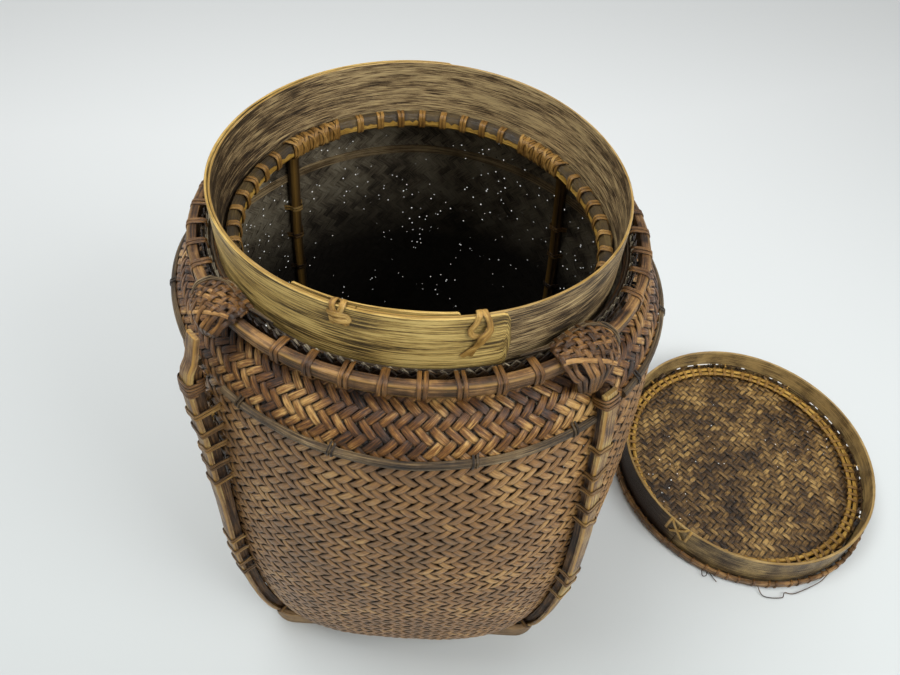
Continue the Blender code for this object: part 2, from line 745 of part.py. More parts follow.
RIM_INNER = NECK_RADIUS + 2 * room(STRAND)
RIM_OUTER = RIM_INNER + RIM_HOOP_DEPTH
PACKING_TOP = PACKING_FOOT + PACKING_HEIGHT
COLLAR_INNER = COLLAR_RADIUS - COLLAR_BAND_THICKNESS
SEAT_OUTER = COLLAR_INNER - 2 * room(STRAND) - GAP
SEAT_INNER = SEAT_OUTER - SEAT_HOOP_DEPTH
SEAT_TOP = SEAT_HOOP_FOOT + SEAT_HOOP_HEIGHT


def neck_hoops():
    rim = Solids()
    hoop(rim, neck_point, bevelled(RIM_INNER, RIM_OUTER, RIM_HOOP_FOOT, RIM_TOP,
                                   RIM_HOOP_CHAMFER), NECK_COLUMNS)
    rim.make("neck_rim_hoop", BAMBOO_SKIN, 0.5)
    packing = Solids()
    hoop(packing, neck_point, [(PACKING_INNER, PACKING_FOOT), (PACKING_OUTER, PACKING_FOOT),
                               (PACKING_OUTER, PACKING_TOP), (PACKING_INNER, PACKING_TOP)],
         NECK_COLUMNS)
    packing.make("neck_packing_strand", RATTAN_BROWN)
    seat = Solids()
    middle = SEAT_INNER + SEAT_HOOP_CHAMFER
    hoop(seat, neck_point, [(SEAT_OUTER, SEAT_HOOP_FOOT), (SEAT_OUTER, SEAT_TOP), (middle, SEAT_TOP),
                            (SEAT_INNER, SEAT_TOP - SEAT_HOOP_CHAMFER),
                            (SEAT_INNER, SEAT_HOOP_FOOT)], NECK_COLUMNS)
    seat.make("collar_seat_hoop", BAMBOO_GOLD, 0.45)


def rim_lashings(place, middle):
    """Pairs of turns round the rim hoop, from one corner cap to the next."""
    half = (STRAND + RIM_PAIR_GAP) / 2 / RIM_OUTER
    angles = []
    for k in range(RIM_LASHINGS_PER_SIDE):
        pair = middle + (k - (RIM_LASHINGS_PER_SIDE - 1) / 2) * RIM_LASHING_STEP
        angles += [pair - half, pair + half]
    hoop_winding("neck_lashing_" + place, neck_point, NECK_COLUMNS,
                 (RIM_INNER, RIM_OUTER, RIM_HOOP_FOOT, RIM_TOP), angles, STRAND, RATTAN_BROWN)


def seat_lashings(place, middle):
    """Turns round the seat hoop: a dense wrap at the inner post's head, then spaced ones."""
    pitch = (STRAND + SEAT_WRAP_GAP) / SEAT_INNER
    angles = [middle - math.pi / 4 + (k - (SEAT_WRAP_TURNS - 1) / 2) * pitch
              for k in range(SEAT_WRAP_TURNS)]
    angles += [middle + (k - (SEAT_LASHINGS_PER_SIDE - 1) / 2) * SEAT_LASHING_STEP
               for k in range(SEAT_LASHINGS_PER_SIDE)]
    hoop_winding("collar_seat_lashing_" + place, neck_point, NECK_COLUMNS,
                 (SEAT_INNER, SEAT_OUTER, SEAT_HOOP_FOOT, SEAT_TOP), angles, STRAND, RATTAN_TAN,
                 outside=True)


def collar():
    seam = SEAM / 2 / COLLAR_RADIUS
    band = Solids()
    hoop(band, neck_point, [(COLLAR_INNER, COLLAR_FOOT), (COLLAR_RADIUS, COLLAR_FOOT),
                            (COLLAR_RADIUS, COLLAR_TOP), (COLLAR_INNER, COLLAR_TOP)],
         NECK_COLUMNS, COLLAR_BAND_SEAM + seam, COLLAR_BAND_SEAM + math.tau - seam)
    band.make("collar_band", BAMBOO_STRAW, 0.5)
    outer = Solids()
    rim = COLLAR_TOP + COLLAR_STRIP_RISE
    foot = PACKING_FOOT
    hoop(outer, neck_point, [(STRIP_INNER, foot), (STRIP_OUTER, foot), (STRIP_OUTER, rim),
                             (STRIP_INNER, rim)], NECK_COLUMNS, COLLAR_STRIP_START, COLLAR_STRIP_END)
    outer.make("collar_outer_strip", BAMBOO_STRAW, 0.5)
    liner = Solids()
    face = COLLAR_INNER - GAP
    top = COLLAR_TOP - COLLAR_LINER_DROP
    low = SEAT_TOP + COLLAR_LINER_LIFT
    back = face - COLLAR_LINER_THICKNESS
    hoop(liner, neck_point, [(back, low), (face, low), (face, top), (back, top)], NECK_COLUMNS,
         COLLAR_LINER_START, COLLAR_LINER_END)
    liner.make("collar_inner_strip", BAMBOO_GOLD, 0.5)


# Corner caps

def corner_cap(place, angle):
    """A saddle of strands fanned from the post head up over the rim hoop to the collar."""
    head = wall_point(angle, CAP_TIP_HEIGHT, 0.0).dot(radial(angle)) / mouth_shape(angle)
    inside = [(head + CAP_TIP_STANDOFF, CAP_TIP_HEIGHT), (RIM_OUTER + GAP, RIM_HOOP_FOOT),
              (RIM_OUTER + GAP, RIM_TOP + GAP), (RIM_INNER, RIM_TOP + GAP),
              (CAP_END_RADIUS, RIM_TOP + GAP)]
    thick = CAP_THICKNESS
    outside = [(inside[0][0] + CAP_TIP_DEPTH, CAP_TIP_HEIGHT + 2 * CAP_RIDGE),
               (RIM_OUTER + 2 * thick, RIM_HOOP_FOOT + CAP_RIDGE),
               (RIM_OUTER + thick, RIM_TOP + thick * CAP_SHOULDER_SHARE),
               (RIM_INNER, RIM_TOP + thick), (CAP_END_RADIUS, RIM_TOP + thick * CAP_END_SHARE)]
    widths = [CAP_TIP_HALF_WIDTH, CAP_WAIST_HALF_WIDTH, CAP_HALF_WIDTH, CAP_HALF_WIDTH,
              CAP_END_HALF_WIDTH]
    columns = 2 * CAP_STRANDS + 1
    rings = []
    for row, half in enumerate(widths):
        (low_r, low_z), (high_r, high_z) = inside[row], outside[row]
        size = math.hypot(high_r - low_r, high_z - low_z)
        front, back = [], []
        for k in range(columns):
            share = 2 * k / (columns - 1) - 1
            turn = angle + share * half / RIM_OUTER
            dome = 1 - CAP_DOME_SHARE * share * share
            ridge = CAP_RIDGE / size * (1 if k % 2 else 0)
            lift = dome - CAP_RIDGE / size + ridge
            radius, height = low_r + (high_r - low_r) * lift, low_z + (high_z - low_z) * lift
            front.append(neck_point(turn, radius, height))
            back.append(neck_point(turn, low_r, low_z))
        rings.append(front + back[::-1])
    solids = Solids()
    solids.loft(rings)
    solids.make("corner_cap_" + place, RATTAN_BROWN, 0.5)


# Ties on the collar

def collar_tie(name, turn, slant, drop_outside, drop_inside, lining):
    """A strand over the collar's top edge, slanting down its outer face."""
    clear = room(STRAND)
    inner = COLLAR_INNER - lining - clear
    outer = STRIP_OUTER + clear
    top = COLLAR_TOP + COLLAR_STRIP_RISE + clear
    path = [neck_point(turn - slant, outer, top - drop_outside), neck_point(turn, outer, top),
            neck_point(turn, inner, top), neck_point(turn, inner, top - drop_inside)]
    solids = Solids()
    strand(solids, path, STRAND, radial(turn))
    solids.make(name, RATTAN_TAN, 0.5)


def collar_ties():
    lining = GAP + COLLAR_LINER_THICKNESS
    long_drop = COLLAR_TOP + COLLAR_STRIP_RISE - PACKING_TOP - LONG_TIE_LIFT
    collar_tie("collar_tie_plain", PLAIN_TIE_TURN, 0.0, PLAIN_TIE_DROP, PLAIN_TIE_DROP, lining)
    collar_tie("collar_tie_long", LONG_TIE_TURN, LONG_TIE_SLANT, long_drop, PLAIN_TIE_DROP, 0.0)


# Lid

LID_EDGE = LID_INNER_FACE - LID_DISC_EDGE_GAP
LID_HOOP_OUTER = LID_EDGE - LID_DISC_THICKNESS - 2 * room(FINE_STRAND)
LID_HOOP_INNER = LID_HOOP_OUTER - LID_INNER_HOOP_DEPTH
LID_HOOP_FOOT = LID_DISC_HEIGHT + LID_DISC_THICKNESS + 2 * room(FINE_STRAND) + GAP
LID_HOOP_TOP = LID_HOOP_FOOT + LID_INNER_HOOP_HEIGHT
LID_RIM_INNER = LID_RADIUS + 2 * room(FINE_STRAND)
LID_RIM_OUTER = LID_RIM_INNER + LID_OUTER_HOOP_DEPTH
LID_RIM_TOP = LID_OUTER_HOOP_FOOT + LID_OUTER_HOOP_HEIGHT


def lid_band():
    """The bent band, its two ends butted under the crossed stitches."""
    seam = SEAM / 2 / LID_RADIUS
    solids = Solids()
    hoop(solids, lid_point, [(LID_INNER_FACE, 0.0), (LID_RADIUS, 0.0), (LID_RADIUS, LID_BAND_HEIGHT),
                             (LID_INNER_FACE, LID_BAND_HEIGHT)], LID_COLUMNS,
         LID_BAND_LAP_START + seam, LID_BAND_LAP_START + math.tau - seam)
    solids.make("lid_band", BAMBOO_STRAW, 0.5)


def lid_weave():
    """The plaited disc, a little crowned, with its edge turned up beside the band."""
    thick = LID_DISC_THICKNESS
    low = LID_DISC_HEIGHT
    edge_top = low + LID_DISC_EDGE_RISE
    half_way = (LID_EDGE * LID_CROWN_PLACE_SHARE, low - LID_DISC_CROWN * LID_CROWN_SHARE)
    lower = [half_way, (LID_EDGE, low), (LID_EDGE, edge_top)]
    upper = [(LID_EDGE - thick, edge_top), (LID_EDGE - thick, low + thick),
             (half_way[0], half_way[1] + thick)]
    rows = lower + upper
    verts = [lid_point(turn, radius, height) for radius, height in rows
             for turn in turns(LID_COLUMNS)]
    faces = []
    count = LID_COLUMNS
    for row in range(len(rows) - 1):
        for k in range(count):
            nxt = (k + 1) % count
            faces.append((row * count + k, row * count + nxt, (row + 1) * count + nxt,
                          (row + 1) * count + k))
    bottom, top = len(verts), len(verts) + 1
    verts.append(Vector((0, 0, low - LID_DISC_CROWN)))
    verts.append(Vector((0, 0, low + thick - LID_DISC_CROWN)))
    last = (len(rows) - 1) * count
    for k in range(count):
        nxt = (k + 1) % count
        faces.append((nxt, k, bottom))
        faces.append((last + k, last + nxt, top))
    finish("lid_weave", verts, faces, LID_OLIVE)


def lid_hoops():
    inner = Solids()
    hoop(inner, lid_point, [(LID_HOOP_OUTER, LID_HOOP_FOOT), (LID_HOOP_OUTER, LID_HOOP_TOP),
                            (LID_HOOP_INNER, LID_HOOP_TOP), (LID_HOOP_INNER, LID_HOOP_FOOT)],
         LID_COLUMNS)
    inner.make("lid_inner_hoop", BAMBOO_GOLD, 0.5)
    outer = Solids()
    hoop(outer, lid_point, [(LID_RIM_INNER, LID_OUTER_HOOP_FOOT), (LID_RIM_OUTER, LID_OUTER_HOOP_FOOT),
                            (LID_RIM_OUTER, LID_RIM_TOP), (LID_RIM_INNER, LID_RIM_TOP)], LID_COLUMNS)
    outer.make("lid_outer_hoop", BAMBOO_SKIN, 0.5)


def lid_lashings():
    """Strands wound round the lid's two hoops, crossing over on the hidden side."""
    angles = [(k + 0.5) * math.tau / LID_LASHINGS for k in range(LID_LASHINGS)]
    hoop_winding("lid_inner_lashing", lid_point, LID_COLUMNS,
                 (LID_HOOP_INNER, LID_HOOP_OUTER, LID_HOOP_FOOT, LID_HOOP_TOP), angles,
                 FINE_STRAND, RATTAN_TAN, outside=True)
    hoop_winding("lid_outer_lashing", lid_point, LID_COLUMNS,
                 (LID_RIM_INNER, LID_RIM_OUTER, LID_OUTER_HOOP_FOOT, LID_RIM_TOP), angles,
                 FINE_STRAND, RATTAN_BROWN)


def lid_band_stitch():
    """One strand sewn crosswise over the butted ends of the lid's band."""
    near = LID_RADIUS + room(STRAND)
    far = near + 2 * room(STRAND)
    start, end = LID_BAND_LAP_START - LID_STITCH_REACH, LID_BAND_LAP_START + LID_STITCH_REACH
    low, high = LID_RIM_TOP + LID_STITCH_LIFT, LID_BAND_HEIGHT - LID_STITCH_MARGIN
    path = [lid_point(start, near, low), lid_point(end, near, high),
            lid_point(start, far, high), lid_point(end, far, low)]
    solids = Solids()
    strand(solids, path, STRAND, radial(LID_BAND_LAP_START))
    solids.make("lid_band_stitch", RATTAN_TAN, 0.5)


def basket():
    foot_frame()
    woven_wall()
    for place, angle in zip(POST_PLACES, POST_ANGLES):
        corner_post(place, angle)
        left = place in ("front_left", "back_right")
        post_lashings(place, angle, LEFT_LASHING_SHARES if left else RIGHT_LASHING_SHARES)
        post_head_binding(place, angle)
        inner_post(place, angle)
        inner_post_bands(place, angle)
        corner_cap(place, angle)
    inner_girdle_hoop()
    neck_hoops()
    collar()
    collar_ties()
    for place, middle in zip(("right", "back", "left", "front"),
                             (0.0, math.pi / 2, math.pi, math.pi * 3 / 2)):
        girdle_arc(place, middle)
        rim_lashings(place, middle)
        seat_lashings(place, middle)
    stand_on_floor("basket_axis", BASKET_X, BASKET_Y)


def lid():
    lid_band()
    lid_weave()
    lid_hoops()
    lid_lashings()
    lid_band_stitch()
    stand_on_floor("lid_lift_axis", BASKET_X + LID_APART_X, BASKET_Y + LID_APART_Y)


clear_scene()
basket()
lid()
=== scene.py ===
import math

import bpy
import numpy as np
from mathutils import Matrix, Vector


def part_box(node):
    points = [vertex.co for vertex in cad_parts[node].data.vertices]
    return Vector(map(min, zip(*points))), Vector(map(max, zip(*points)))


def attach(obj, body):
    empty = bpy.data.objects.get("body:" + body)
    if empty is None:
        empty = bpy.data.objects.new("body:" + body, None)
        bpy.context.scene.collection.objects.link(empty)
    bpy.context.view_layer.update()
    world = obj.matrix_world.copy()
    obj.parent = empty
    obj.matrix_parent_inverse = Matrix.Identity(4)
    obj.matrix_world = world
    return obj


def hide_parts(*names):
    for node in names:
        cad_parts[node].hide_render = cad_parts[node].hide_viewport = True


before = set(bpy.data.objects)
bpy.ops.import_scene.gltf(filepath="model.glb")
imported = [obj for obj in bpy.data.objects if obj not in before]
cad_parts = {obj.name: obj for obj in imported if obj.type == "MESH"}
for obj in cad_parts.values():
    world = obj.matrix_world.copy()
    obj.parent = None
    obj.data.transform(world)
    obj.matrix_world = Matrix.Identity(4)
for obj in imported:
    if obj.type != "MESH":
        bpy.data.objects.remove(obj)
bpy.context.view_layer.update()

# Where things stand. Basket and lid are rings round upright axes, and every piece is drawn
# round its own axis and then stood on it. The foot frame and the lid's hoop are even rings,
# so the middles of their boxes are the two axes.
AXES = {}
for body, node in (("basket", "foot_frame"), ("lid", "lid_inner_hoop")):
    low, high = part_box(node)
    AXES[body] = Vector(((low.x + high.x) / 2, (low.y + high.y) / 2, 0.0))

# Camera. The photograph looks steeply down over the front of the basket from close by, with
# the camera a little turned, which is what tips the basket to the left in the picture.
CAMERA_FROM_AXIS = Vector((0.0185, -0.3510, 0.6451))
CAMERA_YAW, CAMERA_PITCH, CAMERA_ROLL = 0.0141, 0.8291, 0.0755
LENS_MM, SENSOR_MM = 28.0, 36.0

ahead = Vector((math.sin(CAMERA_YAW) * math.cos(CAMERA_PITCH),
                math.cos(CAMERA_YAW) * math.cos(CAMERA_PITCH), -math.sin(CAMERA_PITCH)))
level = Vector((math.cos(CAMERA_YAW), -math.sin(CAMERA_YAW), 0.0))
above = level.cross(ahead)
right = level * math.cos(CAMERA_ROLL) + above * math.sin(CAMERA_ROLL)
above = above * math.cos(CAMERA_ROLL) - level * math.sin(CAMERA_ROLL)
lens = bpy.data.cameras.new("photograph_view")
lens.lens = LENS_MM
lens.sensor_width = SENSOR_MM
lens.clip_start = 0.01
camera = bpy.data.objects.new("photograph_view", lens)
bpy.context.scene.collection.objects.link(camera)
camera.matrix_world = (Matrix.Translation(AXES["basket"] + CAMERA_FROM_AXIS)
                       @ Matrix((right, above, -ahead)).transposed().to_4x4())
bpy.context.scene.camera = camera
bpy.context.scene.view_settings.view_transform = "Standard"


# Floor. A sheet of pale photographer's paper, matt, with a faint cool cast, a slight unevenness
# and painted light that makes it paler towards the back. The world round it is as pale, and gives soft light.
def linear(colour):
    """An sRGB hex colour as linear RGBA."""
    parts = [int(colour[k:k + 2], 16) / 255 for k in (1, 3, 5)]
    return (*[p / 12.92 if p <= 0.04045 else ((p + 0.055) / 1.055) ** 2.4 for p in parts], 1.0)


def add_node(tree, kind, inputs=(), settings=(), stops=()):
    """Add a node. Each input gets a value or a link, and a colour ramp gets its stops."""
    node = tree.nodes.new("ShaderNode" + kind)
    for name, value in dict(settings).items():
        setattr(node, name, value)
    for place, value in dict(inputs).items():
        if isinstance(value, bpy.types.NodeSocket):
            tree.links.new(value, node.inputs[place])
        else:
            node.inputs[place].default_value = value
    for k, (place, colour) in enumerate(stops):
        mark = node.color_ramp.elements[k] if k < 2 else node.color_ramp.elements.new(place)
        mark.position = place
        mark.color = linear(colour)
    return node


FLOOR_SIZE, FLOOR_SQUARES = 12.0, 24
# Painted light: how much paler the paper grows towards the back, per metre
PAINTED_LIGHT_PER_METRE = 0.5
ROOM_STRENGTH = 0.54

paper = bpy.data.materials.new("matt_paper")
paper.use_nodes = True
tree = paper.node_tree
spots = add_node(tree, "TexNoise", {"Scale": 2.2, "Detail": 2.0})
where = add_node(tree, "TexCoord")
depth = add_node(tree, "SeparateXYZ", {0: where.outputs["Object"]})
paler = add_node(tree, "Math", {0: depth.outputs[1], 1: PAINTED_LIGHT_PER_METRE, 2: spots.outputs[0]},
                 {"operation": "MULTIPLY_ADD"})
tint = add_node(tree, "ValToRGB", {0: paler.outputs[0]}, stops=((0.3, "#c0c6c6"), (0.9, "#e8eced")))
sheet = tree.nodes["Principled BSDF"]
tree.links.new(tint.outputs[0], sheet.inputs["Base Color"])
sheet.inputs["Roughness"].default_value = 0.8
sheet.inputs["Specular IOR Level"].default_value = 0.15
bpy.ops.mesh.primitive_grid_add(x_subdivisions=FLOOR_SQUARES, y_subdivisions=FLOOR_SQUARES, size=FLOOR_SIZE)
floor = bpy.context.object
floor.name = "paper_floor"
floor.data.materials.append(paper)

world = bpy.data.worlds.new("soft_room")
world.use_nodes = True
bpy.context.scene.world = world
tree = world.node_tree
seen = add_node(tree, "LightPath")
room = tree.nodes["Background"]
room.inputs["Color"].default_value = linear("#fbfaf8")
room.inputs["Strength"].default_value = ROOM_STRENGTH
pale = add_node(tree, "Background", {"Color": linear("#e6eaeb"), "Strength": 1.0})
mix = add_node(tree, "MixShader", {0: seen.outputs["Is Camera Ray"], 1: room.outputs[0], 2: pale.outputs[0]})
tree.links.new(mix.outputs[0], tree.nodes["World Output"].inputs["Surface"])

# Lamps: one wide soft box over the left shoulder and a second one from the right. Places and
# sizes are in metres from the basket's axis, powers in watts.
SOFT_BOXES = {"key_box": ((-0.45, 0.00, 1.65), 0.7, 15.0), "fill_box": ((1.00, -0.65, 1.15), 0.8, 14.0)}
AIM = Vector((0.05, 0.0, 0.22))
for name, (place, size, power) in SOFT_BOXES.items():
    lamp = bpy.data.lights.new(name, "AREA")
    lamp.shape = "SQUARE"
    lamp.size = size
    lamp.energy = power
    box = bpy.data.objects.new(name, lamp)
    box.location = AXES["basket"] + Vector(place)
    box.rotation_euler = (Vector(place) - AIM).to_track_quat("Z", "Y").to_euler()
    bpy.context.scene.collection.objects.link(box)


# Plaited wall. The outer layer is split bamboo in two sets of strips that climb the wall to
# the left and to the right, each passing over two and under two, so that the floats stand in
# level rows that lean one way and then the other. Its belly is square at the foot.
GAP = 0.0003
BASE_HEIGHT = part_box("outer_weave")[0].z
NECK_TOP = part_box("outer_weave")[1].z
GIRDLE_HEIGHT, GIRDLE_SIDE, GIRDLE_CORNER = 0.337, 0.158, 0.155
SHOULDER_HEIGHT, SHOULDER_RADIUS = 0.3545, 0.1475
NECK_FOOT_HEIGHT, NECK_RADIUS = 0.3660, 0.1332
BELLY_HEIGHT_SHARES = (0.0, 0.022, 0.080, 0.214, 0.417, 0.635, 0.853, 1.0)
BELLY_SIDE_SHARES = (0.785, 0.850, 0.896, 0.943, 0.997, 1.022, 1.018, 1.0)
BELLY_CORNER_SHARES = (0.942, 0.981, 1.019, 1.061, 1.087, 1.071, 1.035, 1.0)
BELLY_OVAL_SHARES = (0.0, 0.0, 0.05, 0.2, 0.5, 0.8, 1.0, 1.0)
OVAL_SHARE, OVAL_TURN = 0.023, math.radians(116)
THREE_CORNER_SHARE, THREE_CORNER_TURN = 0.011, math.radians(-31.5)

belly = [BASE_HEIGHT + (GIRDLE_HEIGHT - BASE_HEIGHT) * share for share in BELLY_HEIGHT_SHARES]
WALL_HEIGHTS = np.array(belly + [SHOULDER_HEIGHT, NECK_FOOT_HEIGHT, NECK_TOP])
NECK_RADII = [SHOULDER_RADIUS, NECK_RADIUS, NECK_RADIUS]
WALL_SIDES = np.array([GIRDLE_SIDE * share for share in BELLY_SIDE_SHARES] + NECK_RADII)
WALL_CORNERS = np.array([GIRDLE_CORNER * share for share in BELLY_CORNER_SHARES] + NECK_RADII)
WALL_ROUNDNESS = np.array([*BELLY_OVAL_SHARES, 1.0, 1.0, 1.0])


def smooth_between(places, values, at):
    """Values between places, along a curve that never swings past them."""
    steps = np.diff(places)
    slopes = np.diff(values) / steps
    pairs = slopes[:-1] * slopes[1:]
    total = slopes[:-1] + slopes[1:]
    tangents = np.concatenate([slopes[:1], np.zeros(len(pairs)), slopes[-1:]])
    rising = pairs > 0
    tangents[1:-1][rising] = 2 * pairs[rising] / total[rising]
    k = np.clip(np.searchsorted(places, at) - 1, 0, len(steps) - 1)
    t = (at - places[k]) / steps[k]
    low = (1 + 2 * t) * (1 - t) ** 2 * values[k] + t * (1 - t) ** 2 * steps[k] * tangents[k]
    high = t * t * (3 - 2 * t) * values[k + 1] - t * t * (1 - t) * steps[k] * tangents[k + 1]
    return low + high


def mouth_shape(turn, weight=1.0):
    """How far the hand-made mouth departs from a circle, as a factor on the radius."""
    oval = OVAL_SHARE * np.cos(2 * (turn - OVAL_TURN))
    corners = THREE_CORNER_SHARE * np.cos(3 * (turn - THREE_CORNER_TURN))
    return 1 + weight * (oval + corners)


UP = np.array([0.0, 0.0, 1.0])


def unit(vectors):
    return vectors / np.maximum(np.linalg.norm(vectors, axis=-1, keepdims=True), 1e-12)


def round_axis(turn, radius, height):
    """Points at a turn, radius and height about the axis."""
    turn, radius, height = np.broadcast_arrays(turn, radius, height)
    return np.stack([radius * np.cos(turn), radius * np.sin(turn), height], -1)


def wall_radius(turn, height):
    """The wall's radius: a square that bulges into a circle as it climbs."""
    side = smooth_between(WALL_HEIGHTS, WALL_SIDES, height)
    corner = smooth_between(WALL_HEIGHTS, WALL_CORNERS, height)
    bend = 1 / (0.5 - np.log2(corner / side))
    spread = np.abs(np.cos(turn)) ** bend + np.abs(np.sin(turn)) ** bend
    weight = smooth_between(WALL_HEIGHTS, WALL_ROUNDNESS, height)
    return side / spread ** (1 / bend) * mouth_shape(turn, weight)


def wall_place(turn, height, out=0.0):
    """Points on the wall, moved out of its face, and the directions out of it."""
    turn, height, out = np.broadcast_arrays(*map(np.asarray, (turn, height, out)))
    small_turn, small_rise = 1e-3, 1e-4

    def place(at_turn, at_height):
        return round_axis(at_turn, wall_radius(at_turn, at_height), at_height)

    round_way = place(turn + small_turn, height) - place(turn - small_turn, height)
    up_way = place(turn, height + small_rise) - place(turn, height - small_rise)
    outward = unit(np.cross(round_way, up_way))
    return place(turn, height) + outward * out[..., None], outward


# A strip's section: its back, its two rounded edges and its crowned face, in shares of half
# its width and of its thickness
STRIP = np.array([(-1.0, 0.0), (-0.95, 0.6), (-0.6, 1.0), (0.6, 1.0), (0.95, 0.6), (1.0, 0.0)])
# Painted shade along a strip's rounded edges, strongest at its back
STRIP_EDGE = np.array([1.0, 0.7, 0.05, 0.05, 0.7, 1.0])


def ribbon(path, outward, width, thick, section=STRIP):
    """Rings of a strip laid with its back on each path, facing outward."""
    run = unit(np.gradient(path, axis=-2))
    side = unit(np.cross(run, outward))
    outward = np.cross(side, run)
    half = np.broadcast_to(np.asarray(width) / 2, path.shape[:-1])[..., None, None]
    lift = np.broadcast_to(thick, path.shape[:-1])[..., None, None]
    across = side[..., None, :] * section[:, 0, None] * half
    return path[..., None, :] + across + outward[..., None, :] * section[:, 1, None] * lift


CRISP = math.radians(42)     # edges that turn more sharply than this stay sharp
TUBE_SHIFT = 0.731           # sets the fibres of one tube off from those of the next


def skin(name, tubes, material, closed, traits):
    """Skin rings of corners along each tube and close its ends. A trait, such as tone, is one
    value, a list with one for each tube, or values for a tube's rings and corners."""
    points, faces, runs, values = [], [], [], {trait: [] for trait in traits}
    start = 0
    for k, tube in enumerate(tubes):
        rings, corners = tube.shape[:2]
        index = start + np.arange(rings * corners).reshape(rings, corners)
        start += rings * corners
        points.append(tube.reshape(-1, 3))
        middles = tube.mean(1)
        ahead_of = np.roll(middles, -1, axis=0) if closed else middles[1:]
        steps = np.linalg.norm(ahead_of - middles[:len(ahead_of)], axis=1)
        along = np.concatenate([[0.0], np.cumsum(steps)]) + TUBE_SHIFT * k
        ring = tube[rings // 2]
        girth = np.linalg.norm(np.roll(ring, -1, axis=0) - ring, axis=1)
        around = np.concatenate([[0.0], np.cumsum(girth)])
        low, high = (index, np.roll(index, -1, axis=0)) if closed else (index[:-1], index[1:])
        quads = np.stack([low, np.roll(low, -1, axis=1), np.roll(high, -1, axis=1), high], -1)
        faces.append(quads.reshape(-1, 4))
        rows, column = np.arange(len(low))[:, None], np.arange(corners)[None, :]
        corner_runs = [(along[rows], around[column]), (along[rows], around[column + 1]),
                       (along[rows + 1], around[column + 1]), (along[rows + 1], around[column])]
        flat = [np.stack(np.broadcast_arrays(u, v), -1) for u, v in corner_runs]
        runs.append(np.stack(flat, 2).reshape(-1, 2))
        for end in () if closed else (0, -1):
            for step in range(corners // 2 - 1):
                cap = [step, step + 1, corners - 2 - step, corners - 1 - step]
                cap = cap if end else cap[::-1]
                faces.append(index[end][cap][None, :])
                runs.append(np.stack([along[end] + 0 * around[cap], around[cap]], -1))
        for trait, given in traits.items():
            value = given[k] if isinstance(given, list) else given
            values[trait].append(np.broadcast_to(value, (rings, corners)).ravel())
    points, faces, runs = np.concatenate(points), np.concatenate(faces), np.concatenate(runs)
    mesh = bpy.data.meshes.new(name)
    mesh.vertices.add(len(points))
    mesh.vertices.foreach_set("co", points.astype(np.float32).ravel())
    mesh.loops.add(faces.size)
    mesh.loops.foreach_set("vertex_index", faces.astype(np.int32).ravel())
    mesh.polygons.add(len(faces))
    mesh.polygons.foreach_set("loop_start", np.arange(0, faces.size, 4, dtype=np.int32))
    mesh.update(calc_edges=True)
    uv = mesh.uv_layers.new(name="run")
    uv.data.foreach_set("uv", runs.astype(np.float32).ravel())
    for trait, value in values.items():
        layer = mesh.attributes.new(trait, "FLOAT", "POINT")
        layer.data.foreach_set("value", np.concatenate(value).astype(np.float32))
    mesh.validate()
    mesh.shade_smooth()
    mesh.set_sharp_from_angle(angle=CRISP)
    mesh.materials.append(material)
    piece = bpy.data.objects.new(name, mesh)
    bpy.context.scene.collection.objects.link(piece)
    return piece


def stand(body, slot, node, name, tubes, material, closed=False, **traits):
    """Skin a piece and stand it on its body's axis. It rides there, in the place of a node."""
    piece = skin(name, tubes, material, closed, traits)
    piece.location = AXES[body]
    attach(piece, body)
    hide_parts(node)


MULTIPLY = {"operation": "MULTIPLY"}
NOISE_LOW, NOISE_HIGH = 0.34, 0.66   # the part of a noise's range that its values really fill


